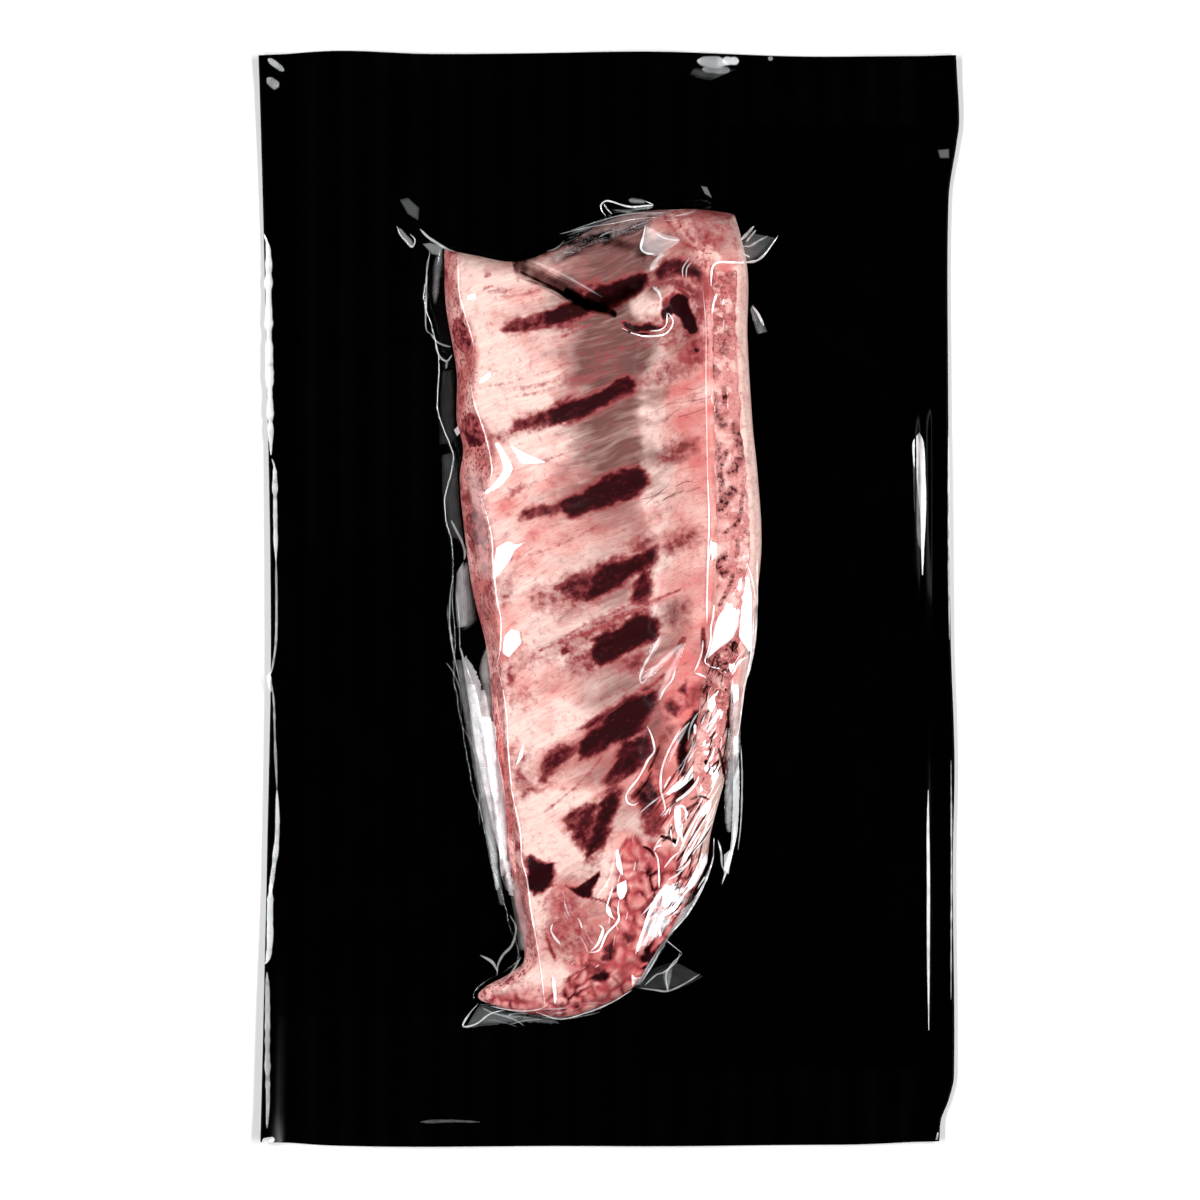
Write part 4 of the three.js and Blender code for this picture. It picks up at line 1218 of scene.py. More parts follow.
def front_web(rack, film, material):
    x, y = pouch_grid(film.xs, film.ys)
    upper = np.stack([x, y, film.at(x, y)], -1)
    piece = mesh_object("clear_front_web", upper, [grid_faces(*x.shape)], "clear_film", ["sealed_rack"])
    give_attribute(piece, "haze", np.zeros(x.size))
    give_attribute(piece, "shine", film_shine(rack, x, y))
    piece.data.materials.append(material)


# Wrinkles that catch the light, their white haze partly a painted highlight: (haze, half width, softness of
# the sides, line), in the photograph's pixels.
STREAKS = [
    (0.8, 0.9, 0, "606,216 602,211 601,205 606,201 613,202 622,205 632,207 645,206 653,205 645,201"),
    (0.5, 0.8, 0, "604,204 607,209 612,214"),
    (0.22, 3, 1, "628,200 636,201 646,202"),
    (0.14, 3.5, 1, "566,236 590,227 620,219 655,214 672,211"),
    (0.14, 3, 1, "612,210 640,213 668,216"),
    (0.3, 0.6, 0, "560,234 585,228 610,224 636,219 660,217"),
    (0.25, 0.6, 0, "572,230 600,221 630,214 668,213"),
    (0.85, 1.2, 0.5, "645.5,225 643,238 641,248 646,253 655,254"),
    (0.5, 1.6, 1, "655,233 664,238 673,240 680,240"),
    (0.45, 3.4, 1, "664,252 656,261 650,272"),
    (0.5, 2.2, 1, "652,286 659,293 661,302 658,312"),
    (0.9, 0.9, 0, "622,328 632,333 645,336 655,336 665,334 671,328 673,321 670,315 668,313"),
    (0.8, 0.7, 0, "650,331 660,330 666,325 667,318 667,313"),
    (1.0, 1.0, 0, "711,286 712,270 715,264 722,262 735,262.5 750,262 758,260 765,254 771,246 778,236"),
    (0.8, 1.3, 0.3, "740,241 747,234 754,226"),
    (0.7, 1.0, 0.3, "746,242 751,236 756,230"),
    (0.5, 1.2, 0.6, "741,246 750,246 760,240 768,236"),
    (1.0, 1.4, 0.2, "743,254 750,257"),
    (1.0, 1.2, 0.2, "752,306 758,314 764,326"),
    (0.9, 1.6, 0.2, "717,293 714,302 712,314"),
    (0.4, 0.6, 0, "683,278 683,268 690,257"),
    (0.4, 0.6, 0, "686,278 687,268 692,262"),
    (0.22, 2, 1, "524,257 562,274 604,298"),
    (0.16, 1.5, 1, "516,268 545,286 580,306"),
    (0.3, 0.6, 0, "703,290 706,330 706,380 707,440 708,500"),
    (0.7, 0.8, 0, "708,480 709,520 708,560 707,600 707,624"),
    (1.0, 1.0, 0, "711,540 710,552 709,561"),
    (1.0, 1.0, 0, "714,605 713,618 711,627 711,640 708,652 705,660 706,664"),
    (1.0, 0.9, 0, "707,657 715,650 722,641 728,630 728,625 724,628 716,640"),
    (0.8, 0.8, 0, "703,640 702,652 698,664 694,672"),
    (1.0, 1.0, 0, "695,673 701,675 712,680 720,684 722,690"),
    (0.8, 0.8, 0, "705,663 713,667 722,669 726,673 729,682"),
    (1.0, 1.6, 0.2, "732,675 737,665 743,659 749,657"),
    (0.9, 1.2, 0.3, "752,655 749,668 745,682 742,700 741,716"),
    (0.7, 0.7, 0, "754,600 753,630 750,660 744,690 740,722 737,740"),
    (0.6, 0.7, 0, "745,560 751,575 755,600 754,640 748,668"),
    (0.6, 0.7, 0, "757,560 757,600 755,640 749,675"),
    (0.3, 2.8, 1, "662,634 658,642 652,652 645,664 641,674 641,681"),
    (0.4, 0.8, 0.4, "661,634 653,650 645,664 640,676 642,683 650,675"),
    (0.42, 3.6, 1, "641,680 650,673 662,662 673,652 681,645 685,642"),
    (0.3, 3.6, 1, "685,643 681,650 675,662 669,674 665,684 661,694 658,701"),
    (0.16, 4.5, 1, "648,612 658,607 668,602 676,598"),
    (0.12, 3.5, 1, "650,617 660,612 672,606"),
    (0.15, 5.5, 1, "659,565 658,580 656,598"),
    (0.9, 1.1, 0.4,
     "647,726 651,734 654,745 654,752 648,760 643,770 637,780 629,790 626,797 628,803 634,805 639,802"),
    (0.8, 1.1, 0.4, "681,728 675,738 669,750 664,762 661,775 661,790 664,802 665,810 660,816"),
    (0.35, 2.2, 1, "690,722 682,735 674,750 668,765"),
    (1.0, 1.3, 0.1, "669,815 671,808 677,801 686,794 694,786 700,776 707,766 712,756 715,745"),
    (0.9, 1.1, 0.3, "664,790 667,782 671,776"),
    (0.9, 1.1, 0.3, "702,738 708,730 714,720 719,712 722,705"),
    (0.8, 1.0, 0.3, "697,742 702,734 709,727"),
    (0.7, 0.8, 0.3, "700,728 705,716 712,706 720,698"),
    (0.7, 0.8, 0.3, "709,765 714,750 719,738 722,728"),
    (0.8, 0.9, 0.2, "703,792 708,780 712,772 710,762"),
    (0.8, 0.9, 0.2, "706,800 712,790 716,778 720,770"),
    (1.0, 1.2, 0.2, "735,822 733,845 728,865 722,884"),
    (0.6, 1.0, 0.2, "718,840 721,852 722,865 725,872"),
    (1.0, 1.0, 0, "714,838 713,850 712,862 706,880 698,896 690,910 681,922 672,932"),
    (0.9, 0.9, 0.2, "684,860 692,848 701,831"),
    (0.9, 0.8, 0.2, "680,864 690,850 697,838"),
    (0.9, 0.9, 0.2, "712,862 704,878 694,892"),
    (0.9, 1.2, 0.2, "700,889 694,897"),
    (0.8, 0.8, 0.2, "682,895 690,889 697,880"),
    (0.9, 1.0, 0.2, "654,851 656,847 662,845"),
    (0.9, 1.0, 0.3, "655,852 658,860 659,875 659,888"),
    (0.6, 0.8, 0.3, "655,846 662,838 672,833"),
    (0.8, 0.9, 0.3, "671,822 671,834 675,846 679,834 677,822"),
    (0.8, 0.9, 0.3, "688,846 694,830 700,816 706,806"),
    (0.7, 0.8, 0.3, "692,856 699,842 706,828 710,814"),
    (0.7, 0.8, 0.3, "664,868 672,858 679,852"),
    (1.0, 1.2, 0.3, "660,914 659,928 661,936 664,938"),
    (0.8, 0.8, 0.2, "653,932 658,924 662,912"),
    (0.5, 0.7, 0.2, "637,984 645,965 655,945"),
    (0.5, 0.7, 0.2, "641,983 650,968 656,958"),
    (0.5, 0.7, 0.2, "634,986 641,955 650,930 657,915"),
    (0.45, 0.7, 0.2, "645,985 656,975 664,972 676,962 680,953"),
    (0.4, 0.7, 0.2, "664,938 672,945 682,953"),
    (0.45, 0.7, 0.2, "668,991 666,975 672,964 682,954"),
    (0.3, 0.8, 0.2, "640,988 655,990 668,991 684,984 700,974"),
    (0.25, 6, 1, "640,978 647,955 656,932 668,910"),
    (1.0, 1.0, 0.1, "613,887 610,896 607,907 609,915 614,918"),
    (1.0, 1.0, 0.1, "619,900 618,910 619,918 616,924 611,929 606,935 603,942 600,949 595,952 589,952"),
    (1.0, 1.5, 0.1, "599,925 603,929 601,937 597,945 591,951"),
    (1.0, 1.6, 0.1, "553,977 554,985 555,995 555,1004"),
    (0.7, 1.6, 0.8, "553,923 551,930 555,938 561,945"),
    (0.3, 2.2, 1, "616,850 612,870 606,885 596,897 591,899"),
    (0.6, 0.7, 0, "458,254 459,289 463,308 471,334 474,348"),
    (0.65, 0.7, 0, "471,385 475,405 481,422 485.5,436 490,455 492,470 490,482"),
    (0.6, 0.7, 0, "481,497 488,520 492,540 493,562 497,600 501,620 500,650 497,664"),
    (0.6, 0.7, 0,
     "497,666 503,690 507,720 508,745 512,790 520,830 522,860 527,880 531,910 537,945 541,970 545,1005"),
    (0.4, 1.2, 0.3, "420,229 428,237 437,243 447,249 456,252"),
    (0.22, 2.2, 0.6, "399,228 404,235 409,241 413,248"),
    (0.5, 0.8, 0.2, "397,226 400,234 406,241 412,247 415,240 410,234"),
    (0.3, 0.9, 0.2, "430,252 427,270 426,300 426,328 431,334"),
    (0.14, 4.5, 1, "441,250 438,265 436,285 435,305"),
    (0.3, 1.0, 0.2, "431,334 436,341 443,345 451,347"),
    (0.35, 0.8, 0, "435,337 437,350 441,358 447,361 452,355"),
    (0.3, 1.5, 0.5, "447,361 446,369"),
    (0.3, 1.3, 0.4, "451,520 456,530 462,542 465,553 464,560"),
    (0.2, 0.7, 0.1, "453,575 450,600 450,630 454,655 460,682"),
    (0.25, 0.6, 0.1, "456,590 459,620 460,652"),
    (0.3, 1.0, 0.3, "510,915 516,928 512,945 503,955 498,965 497,976"),
    (0.3, 1.2, 0.4, "480,955 492,962 498,972"),
    (0.25, 1.0, 0.3, "521,957 510,975 500,985"),
    (0.5, 0.8, 0.2, "478,1004 470,1013 463,1026 476,1024 490,1014 504,1010"),
    (0.5, 0.8, 0.2, "490,1006 505,1009 522,1011 540,1009 548,1003"),
    (0.6, 0.8, 0.2, "536,1012 560,1019 585,1013 610,1003 632,990"),
    (1.0, 1.2, 0.2, "702,738 709,730 715,722 722,706"),
    (0.9, 1.0, 0.2, "704,742 712,733 719,722 723,711"),
    (0.9, 0.9, 0.3, "688,762 694,752 702,744 713,738"),
    (0.8, 0.9, 0.3, "692,758 700,748 710,741"),
    (0.9, 0.9, 0.3, "697,744 701,733 708,725 716,715 721,704"),
    (1.0, 1.1, 0.2, "695,724 695,734"),
    (0.9, 1.2, 0.3, "697,796 706,786 714,776 719,765"),
    (0.9, 1.2, 0.3, "700,788 706,780 713,773"),
    (0.9, 1.0, 0.3, "705,793 712,786 719,775"),
    (1.0, 1.2, 0.2, "676,807 682,806 686,811 686,821"),
    (1.0, 1.4, 0.2, "675,808 676,822 679,837"),
    (1.0, 1.1, 0.2, "680,852 684,841 690,829 698,815 707,801"),
    (0.9, 1.0, 0.2, "682,860 688,847 696,834 704,820 711,806"),
    (0.9, 0.9, 0.3, "678,869 687,857 697,845 706,832 714,819"),
    (0.8, 0.9, 0.3, "680,866 690,856 700,845 709,834"),
    (0.9, 1.0, 0.3, "684,847 681,832 683,822"),
    (1.0, 2.6, 0.3, "690,889 697,878 703,865 707,853"),
    (1.0, 1.2, 0.3, "683,896 691,885 699,871"),
    (0.9, 1.1, 0.2, "694,898 702,887 709,873"),
    (0.9, 1.0, 0.3, "641,916 650,906 659,897 669,888 682,880"),
    (0.7, 0.8, 0.3, "643,946 653,931 662,919"),
    (0.7, 0.8, 0.3, "642,968 651,950 660,936"),
    (0.6, 0.7, 0.3, "638,976 645,958 653,940"),
    (0.6, 0.7, 0.3, "646,975 654,962 660,950"),
    (0.8, 0.9, 0.3, "676,871 685,866 694,856"),
    (0.8, 0.9, 0.3, "668,880 678,874 690,862"),
    (0.7, 0.8, 0.3, "741,745 742,780 741,820 738,850"),
    (0.7, 0.8, 0.3, "660,700 664,690 672,680 676,668"),
    (0.6, 0.8, 0.4, "672,745 680,733 690,722"),
]

# Broader folds whose haze is painted white: highlights along creases and the softboxes' reflection in the
# left tent: (haze, softness, raggedness, one side, the other side), in the same pixels.
BANDS = [
    (0.95, 0.15, 0.3, "460,648 463,664 467,690 471,715 476,745 482,775 489,808 495,835 501,860",
     "461,648 466,664 475,690 481,715 488,745 493,775 497,808 501,835 505,860"),
    (1.0, 0.2, 2.6, "464,658 474,690 479,715 484,745 489,775 494,800",
     "466,656 480,684 482,712 494,726 496,770 499,800"),
    (0.42, 0.4, 0.8, "468,684 472,734 480,788 488,840 496,890", "477,684 482,734 490,788 496,840 499,890"),
    (0.85, 0.3, 0.7, "480,690 484,734 492,788 498,840 501,876", "485,690 493,734 503,788 507,840 504,876"),
    (0.25, 0.6, 0.5, "508,880 514,910 520,950", "518,880 526,910 532,950"),
    (0.22, 0.7, 0.5, "466,470 470,500 474,540 480,580", "480,470 486,500 490,540 492,580"),
    (0.45, 0.6, 0.5, "494,800 497,830 502,860 506,890", "502,800 506,830 509,860 512,890"),
    (0.75, 0.2, 2, "504,860 507,875 509,895", "510,862 512,880 514,896"),
    (0.15, 0.4, 0.6, "456,660 460,690 466,725 473,765 482,815 490,860 500,905",
     "463,660 467,690 474,730 481,770 489,815 497,860 505,905"),
    (0.2, 0.4, 0.6, "486,648 480,668 483,690 484,722", "488,650 489,670 491,695 492,722"),
    (0.42, 0.4, 0.3, "457,572 456,600 458,628", "463,562 466,600 467,626"),
    (0.2, 0.9, 0.3, "462,566 462,600 463,632", "468,560 473,600 476,622"),
    (0.04, 0.4, 0.5, "443,455 443,480 445,510 451,537", "455,452 457,480 459,510 463,540"),
    (0.02, 0.4, 0.5, "442,372 441,400 440,430 440,445", "452,370 453,400 454,430 455,442"),
    (0.12, 0.3, 4, "556,262 590,247 620,236 648,228", "552,252 585,236 615,224 648,217"),
    (1.0, 0.1, 0.2, "919,433 913.5,441 913,452 914,464 917,480 919,500 920.5,520 921,545 922,575",
     "919.6,433 923,441 924.5,455 925,472 926,500 925.5,520 924.2,545 922.8,575"),
    (0.2, 0.6, 0.2, "913,460 914,490 915,520 918,545", "918,470 920,495 921,520 921,550"),
    (0.9, 0.2, 0.1, "928,790 926.8,830 927,880 927,950 928.5,1030",
     "928.6,790 929.3,830 930,880 929.8,950 929,1030"),
    (1.0, 0.15, 0.5, "732,738 733,770 733,800 732,830 730,850 724,868",
     "738,735 739,770 739,800 737,832 733,852 728,874"),
    (0.5, 0.6, 1, "724,728 726,770 725,810 727,832", "732,728 734,770 733,810 732,832"),
    (0.8, 0.3, 1.2, "700,772 706,766 714,764 718,772", "700,792 708,788 714,782 718,776"),
    (0.9, 0.2, 0.8, "700,815 704,806 710,800", "703,817 708,812 712,804"),
    (0.9, 0.2, 0.6, "676,806 677,820 678,834", "680,806 681,820 681,836"),
    (1.0, 0.1, 0.3, "666,794 672,787 684,776 696,761 708,744 719,731",
     "668,795 680,788 692,778 702,764 712,748 721,733"),
    (0.09, 0.4, 1.5, "480,1004 500,1011 530,1016 556,1020", "466,1027 496,1024 528,1022 560,1024"),
    (0.72, 0.5, 1.2, "633,984 636,958 642,935 650,910 659,893 668,880",
     "640,985 652,965 664,945 673,930 686,913 696,896"),
    (1.0, 0.2, 0.4, "632,986 632,970 636,950 642,930 649,910 657,895 666,884",
     "634.5,986 635.5,968 639,950 645.5,931 652,913 660,898 670,886"),
    (1.0, 0.1, 0.3, "702,853 698,864 692,876 686,887", "708,853 704,865 699,876 691,888"),
    (0.35, 0.5, 0.6, "667,888 664,905 663,920 665,937", "684,884 692,894 685,912 670,936"),
    (0.8, 0.5, 0.6, "731,684 731,720 732,755", "740,684 740,720 740,755"),
    (1.0, 0.1, 0.3, "495,444 500,455 503.5,468 500,476 493,485 483,493",
     "498,442.5 506,455 512,468 507,478 498,487 484,495"),
    (1.0, 0.1, 0.2, "616,850 616,858 617,867 621,874", "618,849 620,857 622,867 623,875"),
    (0.03, 0.3, 0.6, "636,988 648,974 660,967 676,962", "640,989 658,990 680,987 702,976"),
    (0.2, 0.3, 0.4, "664,972 664,980 667,991", "672,966 671,978 668,992"),
    (0.1, 0.3, 0.4, "735,259 742,244 751,233", "748,261 762,254 776,238"),
    (0.17, 0.3, 0.4, "750,309 754,322 758,334", "753,305 760,316 767,332"),
    (0.04, 0.5, 1, "690,74 700,78 712,80", "694,68 712,70 735,70"),
]

# Flat facets of the film, their haze a painted highlight, on top of the mirror for those tilted to a
# softbox: (haze, softness of the rim, whether it mirrors a softbox, outline).
FACETS = [
    (0.3, 0.3, False, "645,226 642,247 645,253 655,256 665,251 680,241 679,238 662,234 652,229"),
    (0.35, 0.7, False, "668,890 688,888 694,894 688,910 678,924 668,936 663,930 664,905"),
    (1.0, 0.1, True, "722,306 723,300 727,292 731,290 733,293 731,298 726,301"),
    (0.14, 0.5, False, "701,186 707,187 712,198 705,194"),
    (0.07, 0.5, False, "400,200 408,198 419,208 418,220 408,214"),
    (0.12, 0.5, False, "938,150 949,149 949,158 940,158"),
    (1.0, 0.1, True, "711,541 719,545 716,556 712,561"),
    (0.75, 0.15, True, "741,576 738,586 733,594 727,601 724,609 719,615 716,622 713,634 711,645 707,658 "
     "713,653 720,647 727,643 733,637 737,628 739,615 741,600 742,588"),
    (1.0, 0.05, True,
     "744,579 748,577 751,585 752,600 751,620 751,640 750,653 745,645 739,637 741,615 742,595"),
    (1.0, 0.1, True, "729,657 734,660 735,665 731,673 729,668"),
    (0.95, 0.1, True, "733,690 739,688 738,700 734,703"),
    (0.8, 0.2, True, "708,700 716,692 720,690 717,702 712,713 707,708"),
    (0.8, 0.2, False, "724,855 730,850 729,866 724,873"),
    (1.0, 0.1, True, "617,885 620,883 626,880 627,890 624,897 620,900 617,893"),
    (1.0, 0.1, True, "607,905 610,908 613,918 615,919 609,915 606,912"),
    (1.0, 0.15, True, "467,299 468,296 472,294 476,294 476,297 472,299"),
    (1.0, 0.15, True, "479,383 481,379 486,374 491,373 490,377 485,381"),
    (1.0, 0.1, True, "511,446 514,447 524,453 546,463 533,464 521,463 519,459"),
    (1.0, 0.1, True, "497,548 508,541.5 516,545 526,542 515,549 510,560 501.5,571 493,579 493,572"),
    (1.0, 0.1, True, "504.7,637 511,629 519,631.5 521,643 515,650 509,657 503,652.5"),
    (1.0, 0.1, True, "516,765 520,752 523.4,745 523,756 519,762"),
    (0.18, 0.4, False, "423,244 430,243 443,246 441,256 432,254"),
    (0.9, 0.2, False, "454,430 458,426 460,433 457,436"),
]

# Painted shade: film folds over the meat, drawn as tinted sheets that darken it, in the way of BANDS, with
# the haze as the depth of the shade.
SHADES = [
    (0.55, 0.45, 0.5, "514,274 525,280 540,287 555,294 568,303 576,310",
     "512,260 526,262 541,268 556,276 571,283 584,292"),
    (0.7, 0.5, 0.2, "520,273 540,283 556,291 568,300", "520,270 540,280 556,287 570,295"),
    (1.0, 0.4, 0.3, "562,295 574,304 590,312 604,314 616,318", "566,286 580,294 594,300 605,304 617,312"),
    (0.6, 0.8, 0.6, "600,316 615,316 632,306 644,292", "588,296 606,288 626,280 646,275"),
    (0.7, 0.5, 2, "514,268 530,262 548,254 566,248 590,243 612,238",
     "510,256 528,250 546,244 566,238 590,234 612,228"),
    (0.45, 0.7, 2, "556,266 590,250 625,238 650,226", "560,256 590,238 625,226 655,214"),
    (0.5, 0.7, 1, "600,246 625,252 645,262", "606,236 632,240 650,246"),
    (0.2, 0.9, 1, "652,600 650,640 646,660", "700,590 694,630 672,650"),
    (0.3, 0.8, 1, "648,770 652,745 668,722", "662,775 670,750 680,725"),
    (0.4, 0.6, 0.6, "678,775 678,750 686,722", "688,778 688,752 698,714"),
    (0.7, 0.4, 0.6, "672,800 690,782 706,758", "668,812 688,792 710,762"),
    (0.6, 0.5, 1, "715,650 722,640 730,630", "722,672 732,660 740,648"),
    (0.5, 0.6, 1, "726,690 724,730 722,780", "736,690 733,730 730,780"),
    (0.25, 0.6, 1, "640,980 650,945 664,915", "644,984 658,950 672,922"),
]

# Painted shade in the gaps between the pleats, as dark lines: (haze, half width, softness, line).
GAPS = [
    (0.8, 1.2, 0.4, "682,838 688,826 696,812 704,800"),
    (0.8, 1.4, 0.4, "684,850 692,838 700,824 708,812"),
    (0.9, 1.4, 0.4, "686,862 694,850 702,840 711,826"),
    (1.0, 1.8, 0.3, "712,832 712,848 710,862 704,878"),
    (1.0, 1.2, 0.3, "688,905 696,893 704,880"),
    (0.9, 1.2, 0.3, "684,908 691,897 699,884"),
    (0.8, 1.6, 0.5, "718,745 722,762 725,778"),
    (0.8, 2.4, 0.5, "660,836 668,838 678,842"),
    (1.0, 1.8, 0.2, "672,840 677,843"),
    (0.8, 1.6, 0.5, "642,846 650,850 655,858"),
    (0.8, 1.3, 0.5, "676,862 684,852 690,846"),
    (0.8, 1.4, 0.5, "700,724 706,714 714,704"),
    (0.8, 1.4, 0.5, "706,744 712,736 718,728"),
    (0.7, 1.6, 0.6, "690,800 700,796 710,800"),
    (0.7, 1.8, 0.6, "684,812 692,806 700,802"),
    (0.8, 1.5, 0.5, "672,825 668,836 662,842"),
    (0.8, 1.2, 0.5, "724,680 727,700 729,730"),
    (0.7, 1.2, 0.5, "652,770 645,784 634,798"),
    (0.7, 1.4, 0.5, "660,744 654,760 648,772"),
    (0.5, 0.9, 0.6, "524,279 541,285 556,291 568,300"),
    (0.9, 1.2, 0.4, "624,330 636,334 650,334"),
]

# Small wrinkles strewn along lines, with painted highlights in their haze: (how many, spread, longest, haze,
# line), in the same pixels.
STREWN = [
    (22, 20, 46, 0.5, "664,818 690,785 708,755 722,722"),
    (14, 12, 44, 0.5, "670,905 688,880 704,850"),
    (18, 8, 60, 0.5, "640,978 648,945 662,908"),
    (14, 12, 44, 0.6, "684,862 694,842 704,822 714,800"),
    (14, 12, 34, 0.5, "700,730 716,700 726,670 738,650"),
    (10, 8, 26, 0.5, "742,555 728,595 716,640"),
    (22, 12, 12, 0.5, "718,280 722,400 728,500 735,560"),
    (16, 7, 36, 0.2, "482,1010 520,1017 600,1008"),
    (12, 7, 50, 0.16, "452,600 462,680 482,780 497,870"),
    (16, 8, 26, 0.2, "555,250 600,232 650,218 690,210"),
    (10, 6, 20, 0.3, "560,890 580,930 600,960"),
    (16, 14, 12, 0.4, "640,840 620,900 600,960 560,985"),
]
STREWN_BESIDE = (7, 8)  # the groups that lie beside the rack

# Small folds strewn in the same way, drawn as dark tint: painted shade where folds darken the meat, and
# faint brown strokes over the membrane.
STREWN_SHADES = [
    (40, 20, 40, 0.75, "664,818 690,785 708,755 722,722"),
    (36, 13, 36, 0.7, "668,915 684,893 700,865 710,835"),
    (22, 12, 34, 0.7, "698,735 712,700 722,670 736,650"),
    (14, 8, 18, 0.6, "556,255 600,238 645,224"),
    (10, 16, 36, 0.3, "650,420 680,404 700,398"),
    (10, 16, 36, 0.3, "655,500 680,484 704,478"),
]

# The embossed seal where it catches the light, drawn as a painted highlight: (haze, half width, line), in
# the same pixels.
SEAL_HIGHLIGHTS = [
    (1.0, 3.6, "264,234 267,243 268.5,256 268.5,290 269,340 270,400 271,455"),
    (0.9, 2.4, "272,459 274.5,468 275,490 275.5,530 276,562"),
    (0.5, 1.2, "276,556 276.5,600 276,640 273,664 270,676"),
    (0.5, 2.2, "269,674 269.5,682 272,692"),
    (0.4, 1.2, "272,684 274,705 275,740 277,790"),
    (0.9, 2.4, "277,790 277.5,825 276,850 272,880 270,900"),
    (1.0, 3.2, "271,880 270,910 270,940 268,958 265,964"),
    (0.55, 2.6, "267,972 267.5,1000 267.5,1060 268,1100 267,1128"),
    (1.0, 3, "262,1141 268,1140 275,1140"),
    (0.55, 3, "268,59 275,64 284,71"),
    (0.4, 4, "267,78 274,84 279,87"),
    (0.6, 5, "697,61 712,62 728,63"),
    (0.9, 4.5, "722,61 731,61 739,61"),
    (0.3, 4, "702,69 716,70 730,70"),
    (0.45, 2.5, "768,58 773,59"),
    (0.5, 0.9, "948.5,430 948.6,480 948.8,530 949,580 949.5,640"),
    (0.5, 0.8, "951,760 951.5,860 951,1000"),
    (0.6, 1.2, "938,1132 937,1138 936,1140"),
    (0.1, 1.5, "420,1122 450,1121 480,1122"),
]


def unit(vectors):
    return vectors / np.linalg.norm(vectors, axis=-1, keepdims=True)


def evenly(line, count, smooth=True):
    """A line as so many evenly spaced points, smooth or with straight sides."""
    points = smooth_line(line, 1) if smooth else np.array(line, float)
    reach = np.concatenate([[0], np.cumsum(np.hypot(*np.diff(points, axis=0).T))])
    at = np.linspace(0, reach[-1], count)
    return np.stack([np.interp(at, reach, points[:, 0]), np.interp(at, reach, points[:, 1])], -1)


